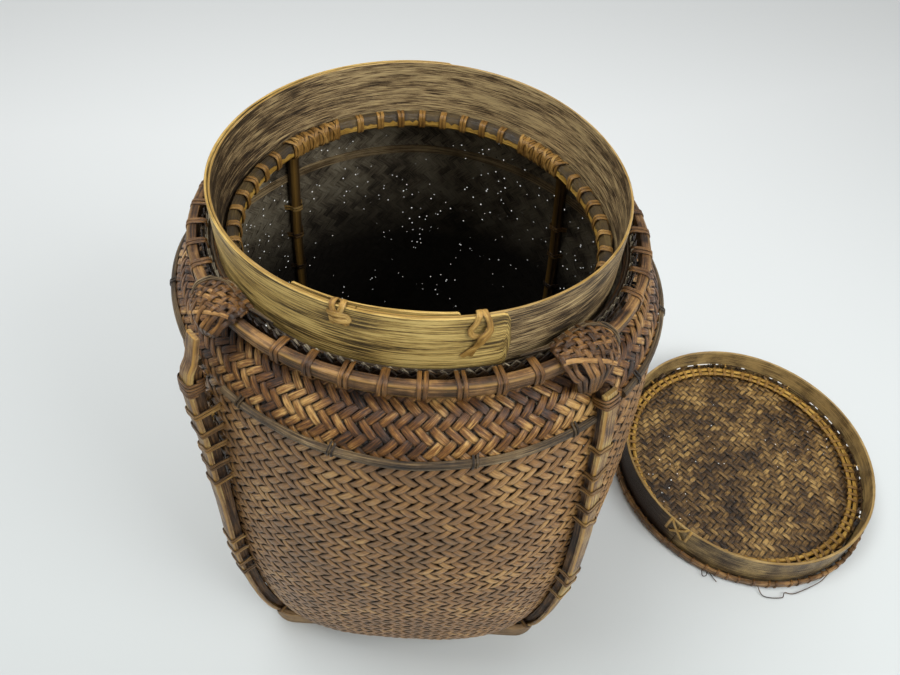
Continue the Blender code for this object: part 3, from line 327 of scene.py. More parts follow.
def strip_finish(name, stops, edge_colour, edge_share=0.6, fibre=(0.018, 0.0011), shares=(0.5, 0.4, 0.3),
                 patch=0.05, roughness=0.45, relief=0.0003, worn=0.0, haze=None):
    """Split bamboo or rattan: long fibres along the strip, each strip its own tone, patches of
    age over the whole piece, and an edge of its own colour. Shares weigh tone, fibre, patch.
    A fibre is a length and a width, drawn coarser than life so that it shows. Two patch sizes
    lay the patches along and across the strip instead. A worn edge shows only in patches. A
    haze is a colour, a share and two heights: it tints the piece more from first to second."""
    material = bpy.data.materials.new(name)
    material.use_nodes = True
    tree = material.node_tree
    shader = tree.nodes["Principled BSDF"]
    place = add_node(tree, "TexCoord").outputs["Object"]
    run = add_node(tree, "UVMap", settings={"uv_map": "run"}).outputs[0]
    drawn = add_node(tree, "VectorMath", {0: run, 1: (1 / fibre[0], 1 / fibre[1], 1.0)}, MULTIPLY)
    fibres = add_node(tree, "TexNoise", {"Vector": drawn.outputs[0], "Scale": 1.0, "Detail": 5.0,
                                         "Roughness": 0.7})
    if isinstance(patch, float):
        spread = add_node(tree, "VectorMath", {0: place, 1: (1 / patch,) * 3}, MULTIPLY)
    else:
        spread = add_node(tree, "VectorMath", {0: run, 1: (1 / patch[0], 1 / patch[1], 1.0)}, MULTIPLY)
    patches = add_node(tree, "TexNoise", {"Vector": spread.outputs[0], "Scale": 1.0, "Detail": 5.0,
                                          "Roughness": 0.65})
    fibre_value, patch_value = (
        add_node(tree, "MapRange", {0: noise.outputs[0], 1: NOISE_LOW, 2: NOISE_HIGH}).outputs[0]
        for noise in (fibres, patches))
    tone = add_node(tree, "Attribute", settings={"attribute_name": "tone"})
    total = 0.5 - sum(shares) / 2
    for share, source in zip(shares, (tone.outputs["Fac"], fibre_value, patch_value)):
        total = add_node(tree, "Math", {0: source, 1: share, 2: total},
                         {"operation": "MULTIPLY_ADD"}).outputs[0]
    face = add_node(tree, "ValToRGB", {0: total}, stops=stops).outputs[0]
    if haze:
        haze_colour, haze_share, first, second = haze
        height = add_node(tree, "SeparateXYZ", {0: place}).outputs[2]
        depth = add_node(tree, "MapRange", {0: height, 1: first, 2: second, 4: haze_share})
        face = add_node(tree, "Mix", {0: depth.outputs[0], 6: face, 7: linear(haze_colour)},
                        {"data_type": "RGBA"}).outputs[2]
    # The edge colour goes where the edge trait says: painted shade in gaps, dives, strip edges and hoop tops,
    # and real colour on cut and worn edges
    edge = add_node(tree, "Attribute", settings={"attribute_name": "edge"})
    wear = add_node(tree, "MapRange", {0: patch_value, 3: edge_share, 4: edge_share * (1 - worn)})
    weight = add_node(tree, "Math", {0: edge.outputs["Fac"], 1: wear.outputs[0]}, MULTIPLY)
    colour = add_node(tree, "Mix", {0: weight.outputs[0], 6: face, 7: linear(edge_colour)},
                      {"data_type": "RGBA"})
    tree.links.new(colour.outputs[2], shader.inputs["Base Color"])
    gloss = add_node(tree, "MapRange", {0: fibre_value, 3: roughness + 0.1, 4: roughness - 0.1})
    tree.links.new(gloss.outputs[0], shader.inputs["Roughness"])
    bump = add_node(tree, "Bump", {"Strength": 0.8, "Distance": relief, "Height": fibre_value})
    tree.links.new(bump.outputs[0], shader.inputs["Normal"])
    shader.inputs["Specular IOR Level"].default_value = 0.4
    return material


# Split bamboo, smoked and handled: honey brown where it is worn, with nearly black painted
# shade in the gaps, and dusty below the girdle
plaited_bamboo = strip_finish(
    "smoked_split_bamboo", ((0.02, "#1a0e07"), (0.33, "#543316"), (0.60, "#805524"), (0.95, "#c69d5e")),
    "#0d0703", 0.95, (0.012, 0.0011), (0.40, 0.65, 0.60), 0.035, 0.36, haze=("#b98c55", 0.40, 0.345, 0.325))

STRIPS = 126                 # each way round the wall
STRIP_WIDTH_SHARE = 0.90     # of the room that a strip has
STRIP_WAIST = 0.10           # how much narrower a strip is where it dives
STRIP_THICKNESS = 0.0009
FLOAT_LIFT = 0.00082         # of a float over the middle of the plaiting
FLOAT_SHAPE = 0.70           # below 1 a float is flat along its length and drops at its ends
PLAIT_MIDDLE = -0.00105      # the middle of the plaiting, out of the wall's face
SAMPLES_PER_PITCH = 4
PARTS = 2                    # each set of strips is in two pieces, to keep the meshes handy
WAYS = ((1, "left_leaning"), (-1, "right_leaning"))


def strip_places(strips, samples_per_pitch):
    """Turn, height and pitch at even steps of each climbing strip, and the steps in pitches."""
    levels = np.linspace(WALL_HEIGHTS[0], WALL_HEIGHTS[-1], 300)
    turns = np.linspace(0, math.tau, 721)
    rings = round_axis(turns[None, :], wall_radius(turns[None, :], levels[:, None]), levels[:, None])
    girth = np.cumsum(np.linalg.norm(np.diff(rings, axis=1), axis=2), axis=1)
    girth = np.concatenate([np.zeros((len(levels), 1)), girth], axis=1)
    mean_radius = np.linalg.norm(rings[:, :, :2], axis=2).mean(1)
    rise = np.hypot(np.diff(levels), np.diff(mean_radius))
    pitch = girth[:, -1] / strips
    climb = np.concatenate([[0.0], np.cumsum(rise / ((pitch[1:] + pitch[:-1]) / 2))])
    steps = np.arange(0.5 / samples_per_pitch, climb[-1], 1 / samples_per_pitch)
    heights = np.interp(steps, climb, levels)
    pitches = np.interp(steps, climb, pitch)
    row = np.interp(heights, levels, np.arange(len(levels)))
    low = np.minimum(row.astype(int), len(levels) - 2)
    share = row - low
    places = {}
    for way, _ in WAYS:
        along = np.mod((np.arange(strips)[:, None] + way * steps[None, :]) / strips, 1.0)
        found = np.zeros_like(along)
        for step in range(len(steps)):
            for level, weight in ((low[step], 1 - share[step]), (low[step] + 1, share[step])):
                shares = girth[level] / girth[level, -1]
                found[:, step] += weight * np.interp(along[:, step], shares, turns)
        places[way] = found
    return places, heights, pitches, steps


def over_and_under(crossing):
    """How far over (1) or under (-1) a strip passes at a crossing of a two-two plait."""
    wave = np.cos(math.pi / 2 * (crossing - 0.5))
    return np.sign(wave) * np.abs(wave) ** FLOAT_SHAPE


def crevice_shade(rise, section_edge):
    """Painted shade along a strip's edges, and across it where it dives under the next ones."""
    dive = np.clip(1 - (rise + 0.15) / 0.6, 0, 1)
    return np.maximum(section_edge, dive[..., None])


def plait(strips, samples_per_pitch, middle, lift, thick, width_share, seed, section=STRIP,
          section_edge=STRIP_EDGE):
    """Both sets of a wall's strips as rings, with their tones and the painted shade on them. Each
    strip and each float on it has its own width, lift and slip, as hand work has."""
    rng = np.random.default_rng(seed)
    places, heights, pitches, steps = strip_places(strips, samples_per_pitch)
    sets = {}
    for way, label in WAYS:
        crossing = 2 * steps + (0.0 if way > 0 else 2.0)
        rise = over_and_under(crossing)
        float_index = ((crossing + 0.5) // 2).astype(int)
        floats = (strips, float_index.max() + 1)
        uneven = rng.normal(1.0, 0.16, floats)[:, float_index]
        slip = rng.normal(0, 0.035, (strips, 1)) + rng.normal(0, 0.02, floats)[:, float_index]
        turn = places[way] + slip * math.tau / strips
        out = middle - thick / 2 + lift * rise[None, :] * np.clip(uneven, 0.6, 1.5)
        path, outward = wall_place(turn, np.broadcast_to(heights, turn.shape), out)
        widths = pitches / math.sqrt(2) * width_share * rng.normal(1.0, 0.035, (strips, 1))
        widths = widths * (1 - STRIP_WAIST * (1 - rise))
        rings = ribbon(path, outward, widths, thick, section)
        own = rng.beta(2.2, 2.2, (strips, 1))
        patch = rng.normal(0, 0.16, floats)[:, float_index]
        # Above the neck's foot, under the rim hoop and packing, the strips get full painted shade
        painted_shade = np.maximum(crevice_shade(rise, section_edge), (heights > NECK_FOOT_HEIGHT + 0.001)[:, None])
        sets[label] = rings, np.clip(own + patch, 0, 1)[..., None], painted_shade
    return sets


wall_sets = plait(STRIPS, SAMPLES_PER_PITCH, PLAIT_MIDDLE, FLOAT_LIFT, STRIP_THICKNESS,
                  STRIP_WIDTH_SHARE, seed=3)
for label, (rings, tones, painted_shade) in wall_sets.items():
    for part in range(PARTS):
        chosen = slice(part * STRIPS // PARTS, (part + 1) * STRIPS // PARTS)
        stand("basket", "weave_brown", "outer_weave", f"wall_strips_{label}_{part + 1}", rings[chosen],
              plaited_bamboo, tone=list(tones[chosen]), edge=painted_shade)


# Lining. A finer, darker layer of the same plaiting stands inside the outer one. Smoke has
# turned it olive grey, and small spots that glow as painted daylight stand for light through its gaps.
LINING_MIDDLE, LINING_LIFT, LINING_THICKNESS = -0.0031, 0.0005, 0.0006
LINING_STRIPS, LINING_SAMPLES_PER_PITCH = 126, 2
LINING_WIDTH_SHARE = 1.02
FLAT_STRIP = np.array([(-1.0, 0.0), (-0.9, 1.0), (0.9, 1.0), (1.0, 0.0)])
# Painted shade along a flat strip's edges
FLAT_STRIP_EDGE = np.array([1.0, 0.5, 0.5, 1.0])

# Split bamboo, sooted: matt and grey near the mouth, in colours painted paler than it is to
# stand for light there, and painted shade turns it black a hand's breadth down
soot_and_shade_bamboo = strip_finish(
    "soot_and_shade_split_bamboo", ((0.1, "#4a4131"), (0.4, "#a0927a"), (0.65, "#cdbf9f"), (0.95, "#efe2c2")),
    "#1c1710", 0.6, shares=(0.4, 0.5, 0.7), patch=0.03, roughness=0.6, haze=("#070504", 0.98, 0.338, 0.225))
DAYLIGHT = 0.9
CROWD_SCALE = 9.0            # crowds of glowing spots to a metre
CROWD_LOW, CROWD_HIGH = 0.35, 0.65


def let_daylight_in(material, spacing, radius, rarity):
    """Prick a plait's finish with small spots that glow as painted daylight, more and larger ones in some
    places.
    """
    tree = material.node_tree
    place = add_node(tree, "TexCoord").outputs["Object"]
    glow_cells = add_node(tree, "TexVoronoi", {"Vector": place, "Scale": 1 / spacing})
    crowd = add_node(tree, "TexNoise", {"Vector": place, "Scale": CROWD_SCALE}).outputs[0]
    chance, reach = (
        add_node(tree, "MapRange", {0: crowd, 1: CROWD_LOW, 2: CROWD_HIGH, 3: least, 4: most}).outputs[0]
        for least, most in ((rarity - 0.3, rarity + 0.3), (1.5 * radius / spacing, 0.7 * radius / spacing)))
    chosen = add_node(tree, "Math", {0: glow_cells.outputs["Color"], 1: chance}, {"operation": "GREATER_THAN"})
    small = add_node(tree, "Math", {0: glow_cells.outputs["Distance"], 1: reach}, {"operation": "LESS_THAN"})
    prick = add_node(tree, "Math", {0: chosen.outputs[0], 1: small.outputs[0]}, MULTIPLY)
    light = add_node(tree, "Math", {0: prick.outputs[0], 1: DAYLIGHT}, MULTIPLY)
    shader = tree.nodes["Principled BSDF"]
    shader.inputs["Emission Color"].default_value = linear("#f2f4f2")
    tree.links.new(light.outputs[0], shader.inputs["Emission Strength"])


let_daylight_in(soot_and_shade_bamboo, 0.0048, 0.00042, 0.45)
lining_sets = plait(LINING_STRIPS, LINING_SAMPLES_PER_PITCH, LINING_MIDDLE, LINING_LIFT, LINING_THICKNESS,
                    LINING_WIDTH_SHARE, seed=8, section=FLAT_STRIP, section_edge=FLAT_STRIP_EDGE)
for label, (rings, tones, painted_shade) in lining_sets.items():
    stand("basket", "lining_grey", "inner_lining", f"lining_strips_{label}", rings, soot_and_shade_bamboo,
          tone=list(tones), edge=painted_shade)


# Base. The wall's strips start in a flat square of the same plaiting, which the foot frame
# holds off the floor, and the lining has a base of its own on it. Both faces can be seen.
BASE_PITCH, BASE_LIFT, BASE_THICKNESS = 0.0054, 0.0004, 0.0006
TWO_FACED_STRIP = np.array([(-1.0, 0.5), (-0.7, 1.0), (0.7, 1.0), (1.0, 0.5), (0.7, 0.0), (-0.7, 0.0)])
# Painted shade along the strip's two edges, on both faces
TWO_FACED_EDGE = np.array([1.0, 0.05, 0.05, 1.0, 0.05, 0.05])


def flat_plait(reach, radius_at, height_at, pitch, lift, thick, seed, unruly=0.05, pointed=False):
    """Both sets of strips of a flat or dished plait, cut to an outline, with tones and painted shade.
    The rows of a pointed plait turn back on themselves in its middle."""
    rng = np.random.default_rng(seed)
    rings, tones, painted_shade = [], [], []
    count = int(reach / pitch)
    floats = 4 * count + 9
    steps = np.arange(-2 * count, 2 * count + 1) / 2
    for way in (0, 1):
        heading = math.pi / 4 + way * math.pi / 2
        run = np.array([math.cos(heading), math.sin(heading)])
        over = np.array([-math.sin(heading), math.cos(heading)])
        for k in range(-count, count + 1):
            crossing = np.abs(steps) + abs(k) if pointed else steps + k * (1 if way else -1)
            crossing = crossing + 2 * way
            float_index = ((crossing + 0.5) // 2).astype(int) % floats
            sway = (k + rng.normal(0, unruly) + rng.normal(0, unruly / 2, floats)[float_index]) * pitch
            flat = over * sway[:, None] + run * (steps * pitch)[:, None]
            turn = np.arctan2(flat[:, 1], flat[:, 0])
            inside = np.linalg.norm(flat, axis=1) < radius_at(turn)
            width = pitch * rng.normal(1, 0.5 * unruly + 0.02)
            own, patch = rng.beta(2.2, 2.2), rng.normal(0, 0.13, floats)[float_index]
            if inside.sum() < 3:
                continue
            rise = over_and_under(crossing)[inside]
            path = np.column_stack([flat[inside], height_at(flat[inside]) + lift * rise - thick / 2])
            width = width * (1 - STRIP_WAIST * (1 - rise))
            rings.append(ribbon(path, UP, width, thick, TWO_FACED_STRIP))
            tones.append(np.clip(own + patch[inside], 0, 1)[:, None])
            painted_shade.append(np.hstack([crevice_shade(rise, TWO_FACED_EDGE[:3]), crevice_shade(-rise, TWO_FACED_EDGE[3:])]))
    return rings, tones, painted_shade


for name, lift_by, material, slot, node, seed in (
        ("base_strips", 0.0010, plaited_bamboo, "weave_brown", "outer_weave", 11),
        ("lining_base_strips", 0.0029, soot_and_shade_bamboo, "lining_grey", "inner_lining", 12)):
    rings, tones, painted_shade = flat_plait(
        GIRDLE_SIDE, lambda turn: wall_radius(turn, np.full_like(turn, BASE_HEIGHT + 0.001)) - lift_by,
        lambda flat: BASE_HEIGHT + lift_by, BASE_PITCH, BASE_LIFT, BASE_THICKNESS, seed)
    stand("basket", slot, node, name, rings, material, tone=tones, edge=painted_shade)


# Foot frame. A band of light wood bent into a square with round corners, grey-brown with
# age and worn pale along its lower edge, on which the corner posts stand.
FOOT_LOW, FOOT_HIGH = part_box("foot_frame")
FOOT_HALF_WIDTH, FOOT_HEIGHT = (FOOT_HIGH.x - FOOT_LOW.x) / 2, FOOT_HIGH.z
FOOT_CORNER_RADIUS, FOOT_THICKNESS, FOOT_ROUND = 0.022, 0.005, 0.0008
FOOT_CORNER_STEPS, FOOT_SIDE_STEPS = 10, 16


def rounded_square(half, radius):
    """Points round a square with round corners, with the directions out of it."""
    def centre(quarter):
        turn = math.pi / 4 + quarter * math.pi / 2
        return np.array([math.cos(turn), math.sin(turn)]) * (half - radius) * math.sqrt(2)

    turns, centres = [], []
    for quarter in range(4):
        for k in range(FOOT_CORNER_STEPS + 1):
            turns.append((quarter + k / FOOT_CORNER_STEPS) * math.pi / 2)
            centres.append(centre(quarter))
        for k in range(1, FOOT_SIDE_STEPS):
            turns.append((quarter + 1) * math.pi / 2)
            centres.append(centre(quarter) + (centre(quarter + 1) - centre(quarter)) * k / FOOT_SIDE_STEPS)
    turns = np.array(turns)
    outward = np.column_stack([np.cos(turns), np.sin(turns), 0 * turns])
    return np.column_stack([np.array(centres), 0 * turns]) + outward * radius, outward


# Bent wood that handling has dulled: long grain, and paler along its worn edges
aged_wood = strip_finish(
    "bent_light_wood", ((0.15, "#3d2c1e"), (0.45, "#65503a"), (0.7, "#8a7050"), (0.95, "#b3946a")),
    "#a98a5e", 0.5, (0.05, 0.0009), (0.2, 0.6, 0.6), 0.04, 0.6)
foot_path, foot_out = rounded_square(FOOT_HALF_WIDTH, FOOT_CORNER_RADIUS)
foot_section = [(-FOOT_THICKNESS + FOOT_ROUND, FOOT_HEIGHT), (-FOOT_ROUND, FOOT_HEIGHT),
                (0.0, FOOT_HEIGHT - FOOT_ROUND), (0.0, FOOT_ROUND), (-FOOT_ROUND, 0.0),
                (-FOOT_THICKNESS + FOOT_ROUND, 0.0), (-FOOT_THICKNESS, FOOT_ROUND),
                (-FOOT_THICKNESS, FOOT_HEIGHT - FOOT_ROUND)]
rings = np.stack([foot_path + foot_out * r + np.array([0, 0, z]) for r, z in foot_section], 1)
stand("basket", "wood_grey", "foot_frame", "bent_foot_band", [rings], aged_wood, closed=True, tone=0.5,
      edge=np.array([0.3, 1.0, 0.4, 0.4, 1.0, 0.6, 0.0, 0.0]))


# Corner posts. A stick stands in each corner of the wall with a wider lath over it. Each row
# of values goes by corner. The front-left head leans out and its lath's free end bends back
# to the neck, and the front-right post has slipped sideways and leans in.
CORNERS = ("front_left", "front_right", "back_right", "back_left")
POST_ANGLES = [math.radians(turn) for turn in (225, 315, 45, 135)]
POST_TWISTS, TWIST_CLIMB = (0.0, math.radians(-2.4), 0.0, 0.0), 0.24
HEAD_LEANS, LEAN_FROM, LEAN_CLIMB = (0.0045, -0.0050, 0.0, 0.0), 0.22, 0.115
POST_GIRDLE_STANDOFF, POST_TOP_STANDOFF = 0.0024, 0.0054
POST_SAMPLES = 60
STICK_WIDTH, STICK_DEPTH = 0.007, 0.0065
STICK_TOPS = (0.3480, SHOULDER_HEIGHT, SHOULDER_HEIGHT, SHOULDER_HEIGHT)
STICK_SECTION = np.array([(-1, 0.12), (-1, 0.7), (-0.6, 1.0), (0.6, 1.0), (1, 0.7), (1, 0.12),
                          (0.7, 0.0), (-0.7, 0.0)])
LATH_WIDTH, LATH_DEPTH, LATH_TAPER = 0.011, 0.0030, 0.12
LATH_TOPS = (0.3720, 0.3540, 0.3600, 0.3600)
LATH_BENDS = (-0.0100, 0.0005, 0.0015, 0.0015)
LATH_TONES = (0.60, 0.80, 0.50, 0.45)
LATH_SECTION = np.array([(-1, 0.0), (-1.0, 0.55), (-0.84, 0.86), (-0.66, 1.0), (0.66, 1.0),
                         (0.84, 0.86), (1.0, 0.55), (1, 0.0)])
LATH_EDGE = np.array([0.0, 0.3, 1.0, 0.0, 0.0, 1.0, 0.3, 0.0])
FREE_ABOVE_GIRDLE = 0.008


def post_turn(number, height):
    return POST_ANGLES[number] + POST_TWISTS[number] * np.clip(height / TWIST_CLIMB, 0, 1)


def post_places(number, heights):
    """Places up the back of a corner post, and the directions out of the corner."""
    first, second = WALL_HEIGHTS[1], WALL_HEIGHTS[2]
    foot_radius, next_radius = wall_radius(POST_ANGLES[number], np.array([first, second]))

    def radius_at(height):
        standoff = np.interp(height, [WALL_HEIGHTS[6], GIRDLE_HEIGHT, SHOULDER_HEIGHT],
                             [0.0, POST_GIRDLE_STANDOFF, POST_TOP_STANDOFF])
        below = foot_radius + (next_radius - foot_radius) / (second - first) * (height - first)
        on_wall = wall_radius(post_turn(number, height), np.clip(height, first, SHOULDER_HEIGHT))
        lean = HEAD_LEANS[number] * np.clip((height - LEAN_FROM) / LEAN_CLIMB, 0, 1)
        return np.where(height < first, below, on_wall) + GAP + standoff + lean

    step = 0.002
    slopes = (radius_at(heights + step) - radius_at(heights - step)) / (2 * step)
    outward = unit(round_axis(post_turn(number, heights), 1.0, -slopes))
    return round_axis(post_turn(number, heights), radius_at(heights), heights), outward


def wander(count, size, seed, waves=5):
    """A smooth unevenness along a piece, in the unit of its size."""
    rng = np.random.default_rng(seed)
    along = np.linspace(0, math.tau, count, endpoint=False)
    total = np.zeros(count)
    for wave in range(1, waves + 1):
        total += rng.normal(0, 1 / wave) * np.sin(wave * along + rng.uniform(0, math.tau))
    return size * total / 1.5


# The stick is peeled rattan, brown. The lath is bamboo with its grey-brown skin outwards, and
# the edges where it was split have stayed straw yellow.
peeled_stick = strip_finish(
    "peeled_rattan_stick", ((0.15, "#1c120a"), (0.5, "#4a331d"), (0.9, "#866238")),
    "#3a2716", 0.5, (0.03, 0.0012), (0.2, 0.6, 0.5), 0.03, 0.55)
bamboo_lath = strip_finish(
    "bamboo_lath_skin", ((0.1, "#33241a"), (0.4, "#6b5036"), (0.65, "#90724b"), (0.95, "#b59c60")),
    "#b98c3f", 0.95, (0.035, 0.0012), (0.5, 0.7, 0.7), 0.02, 0.45, worn=0.4)
for number, corner in enumerate(CORNERS):
    places, outward = post_places(number, np.linspace(FOOT_HEIGHT + GAP, STICK_TOPS[number], POST_SAMPLES))
    uneven = wander(POST_SAMPLES, 0.00015, 20 + number)
    stick = ribbon(places, outward, STICK_WIDTH + uneven * 2, STICK_DEPTH, STICK_SECTION)
    stand("basket", "rattan_tan", "post_stick_" + corner, f"{corner}_stick", [stick], peeled_stick,
          tone=0.5, edge=0.0)
    heights = np.linspace(FOOT_HEIGHT + GAP, LATH_TOPS[number], POST_SAMPLES)
    places, outward = post_places(number, heights)
    free = (heights - GIRDLE_HEIGHT - FREE_ABOVE_GIRDLE) / (LATH_TOPS[number] - GIRDLE_HEIGHT)
    free = np.clip(free, 0, 1)
    out = STICK_DEPTH + GAP + np.abs(uneven) + LATH_BENDS[number] * free ** 1.25
    lath = ribbon(places + outward * out[:, None], outward, LATH_WIDTH * (1 - LATH_TAPER * free),
                  LATH_DEPTH, LATH_SECTION)
    stand("basket", "bamboo_gold", "post_lath_" + corner, f"{corner}_lath", [lath], bamboo_lath,
          tone=LATH_TONES[number], edge=LATH_EDGE)


# Post lashings. Strips of split rattan are laid over each lath and drawn through the wall on
# both sides of it, in pairs that slant a little. Where they are close, a chain of two crossed
# strands runs beside the lath, with knots. A few tight turns bind each post's head.
LASHING_SHARES = ((.063, .364, .409, .464, .517, .735, .790, .837, .890, .938),
                  (.063, .366, .436, .482, .702, .755, .805, .855, .925))
LASHING_WIDTH, LASHING_THICKNESS = 0.0024, 0.0006
LASHING_REACH, LASHING_PAIR = 0.0062, 0.0028
LASHING_SINK = -0.0008       # a strip's end, into the wall's face
CHAIN_GAP, CHAIN_SWING = 0.06, 0.0085
KNOT_SHARE, KNOT_SIZE = 0.6, 0.0055
HEAD_TURNS = (5, 3, 4, 4)
HEAD_STARTS = (-0.0030, 0.0085, 0.0, 0.0)
HEAD_PITCH, HEAD_SQUARE = 0.0020, 0.45


def through(points, per_span):
    """A smooth path through given points."""
    points = np.asarray(points, float)
    padded = np.concatenate([2 * points[:1] - points[1:2], points, 2 * points[-1:] - points[-2:-1]])
    t = np.linspace(0, 1, per_span, endpoint=False)[:, None]
    spans = []
    for k in range(1, len(padded) - 2):
        a, b, c, d = padded[k - 1:k + 3]
        spans.append(0.5 * (2 * b + (c - a) * t + (2 * a - 5 * b + 4 * c - d) * t ** 2
                            + (3 * b - a - 3 * c + d) * t ** 3))
    return np.concatenate(spans + [points[-1:]])


def strand_between(points, facing, width, thick, per_span):
    """A strip through given points. Each point has the direction that it faces."""
    return ribbon(through(points, per_span), unit(through(facing, per_span)), width, thick)


def knot(centre, outward, along, size, width, seed):
    """A small pulled knot: one strip round itself twice, lying on its outward side."""
    side = np.cross(outward, along)
    tangle = np.linspace(0, 2 * math.tau, 34) + np.random.default_rng(seed).uniform(0, math.tau)
    across = np.cos(tangle * 1.5) * (1 + 0.35 * np.cos(tangle * 2.5))
    rise = np.sin(tangle) * 0.8
    lift = 0.45 + 0.4 * np.sin(tangle * 2.5)
    offsets = side * across[:, None] + along * rise[:, None] + outward * lift[:, None]
    path = centre + offsets * size / 2
    return ribbon(path, unit(path - centre + outward * size * 0.3), width, 0.0005)


# Split rattan, glossy on its skin side. The aged one has gone red brown, the tan one is
# younger or less handled. Both carry painted shade along the edges of their strips.
split_rattan = strip_finish(
    "split_rattan_aged", ((0.08, "#1d1007"), (0.38, "#54371a"), (0.65, "#835c2d"), (0.94, "#b98e54")),
    "#0f0804", 0.85, (0.010, 0.0009), (0.6, 0.45, 0.4), 0.02, 0.34)
tan_rattan = strip_finish(
    "split_rattan_tan", ((0.08, "#33210e"), (0.38, "#704f24"), (0.65, "#9b7439"), (0.94, "#c9a25e")),
    "#1e1307", 0.85, (0.010, 0.0009), (0.6, 0.4, 0.3), 0.02, 0.40)

for number, corner in enumerate(CORNERS):
    rng = np.random.default_rng(40 + number)
    chain_side = (-1, 1)[number % 2]
    over = STICK_DEPTH + LATH_DEPTH + 2 * GAP
    tubes = []
    last_height, sign = None, -1
    for share in LASHING_SHARES[number % 2]:
        height = GIRDLE_HEIGHT * share
        (middle,), (outward,) = post_places(number, np.array([height]))
        angle = post_turn(number, height)
        sideways = round_axis(angle + math.pi / 2, 1.0, 0.0)
        upward = np.cross(outward, sideways)
        radius = np.linalg.norm(middle[:2])
        slant = rng.normal(0.0009, 0.0005) * sign
        for twin in (-0.5, 0.5):
            points, facing = [], []
            for way in (-1, 1):
                lift = twin * LASHING_PAIR + way * slant + rng.normal(0, 0.0002)
                reach = LASHING_REACH * rng.normal(1.0, 0.06)
                foot, foot_out = wall_place(angle + way * reach / radius, height + lift, LASHING_SINK)
                side = sideways * way
                edge = middle + side * (LATH_WIDTH / 2 + 0.0001) + upward * lift
                leg = [(foot, foot_out), (edge + outward * (over * 0.40), side),
                       (edge + outward * (over - 0.0016), side),
                       (edge - side * 0.0003 + outward * (over - 0.0003), unit(side + outward)),
                       (edge - side * 0.0014 + outward * over, outward),
                       (edge - side * 0.0034 + outward * over, outward)][::-way]
                points += [point for point, _ in leg]
                facing += [face for _, face in leg]
            tubes.append(strand_between(points, facing, LASHING_WIDTH * rng.normal(1, 0.08),
                                        LASHING_THICKNESS, 3))
        if last_height is not None and height - last_height < CHAIN_GAP:
            heights = np.linspace(last_height, height, 14)
            beside = angle + chain_side * LASHING_REACH * 1.05 / radius
            for phase in (0.0, math.pi):
                swing = (heights - last_height) / (height - last_height) * math.tau + phase
                path, facing = wall_place(beside + CHAIN_SWING * np.sin(swing), heights,
                                          0.0005 + 0.0004 * np.cos(heights * 900 + phase))
                tubes.append(ribbon(path, facing, 0.0017, 0.0007))
        if rng.uniform() < KNOT_SHARE:
            place, face = wall_place(angle + chain_side * LASHING_REACH * 0.95 / radius, height, 0.0008)
            tubes.append(knot(place, face, upward, KNOT_SIZE, 0.0019, 60 + int(height * 1e4)))
        last_height, sign = height, -sign
    tones = [float(tone) for tone in rng.uniform(0.15, 0.85, len(tubes))]
    stand("basket", "rattan_brown", "post_lashings_" + corner, f"{corner}_lashings", tubes, tan_rattan,
          tone=tones, edge=STRIP_EDGE)

    turns = HEAD_TURNS[number]
    heights = GIRDLE_HEIGHT + HEAD_STARTS[number] + HEAD_PITCH * np.linspace(0, turns, turns * 20 + 1)
    middles, outward = post_places(number, heights)
    swing = np.linspace(0, turns * math.tau, len(heights))
    across, rise = np.cos(swing), np.sin(swing)
    box_across = np.sign(across) * np.abs(across) ** HEAD_SQUARE * (LATH_WIDTH / 2 + GAP)
    box_rise = over / 2 + np.sign(rise) * np.abs(rise) ** HEAD_SQUARE * (over / 2 + GAP)
    path = middles + outward * box_rise[:, None] + sideways * box_across[:, None]
    facing = unit(sideways * (across ** 3)[:, None] + outward * (rise ** 3)[:, None])
    tubes = [ribbon(path, facing, HEAD_PITCH * 1.02, LASHING_THICKNESS)]
    foot, face = wall_place(angle + chain_side * 0.055, GIRDLE_HEIGHT - 0.006, 0.0010)
    tubes += [knot(foot + 0.002 * k * UP, face, UP, size, 0.0014, 50 + k)
              for k, size in enumerate((0.006, 0.008))]
    stand("basket", "rattan_brown", "post_head_binding_" + corner, f"{corner}_head_binding", tubes,
          split_rattan, tone=[0.45, 0.6, 0.3], edge=STRIP_EDGE)


# Girdle hoops. A half-round of split rattan, grey brown and grooved, is tied along the
# wall's widest level from post to post, and marks the top of the belly.
GIRDLE_HOOP_HEIGHT, GIRDLE_HOOP_DEPTH, GIRDLE_HOOP_END = 0.0056, 0.0028, 0.0125
GIRDLE_HOOP_SAMPLES = 90
SIDES = {"right": 0.0, "back": math.pi / 2, "left": math.pi, "front": math.pi * 3 / 2}
GIRDLE_TIES = [math.radians(turn) for turn in (-35, -13, 14, 35)]
# A tie's rise on the hoop, how far it stands out, and how much it faces up
TIE_ROUTE = ((-0.0050, -0.0008, -0.6), (-0.0030, 0.0012, -1.2), (-0.0012, 0.0031, -0.5),
             (0.0012, 0.0031, 0.5), (0.0030, 0.0012, 1.2), (0.0050, -0.0008, 0.6))
HALF_ROUND = np.array([(-1.0, 0.0), (-0.93, 0.42), (-0.66, 0.8), (-0.25, 1.0), (0.25, 1.0),
                       (0.66, 0.8), (0.93, 0.42), (1.0, 0.0)])

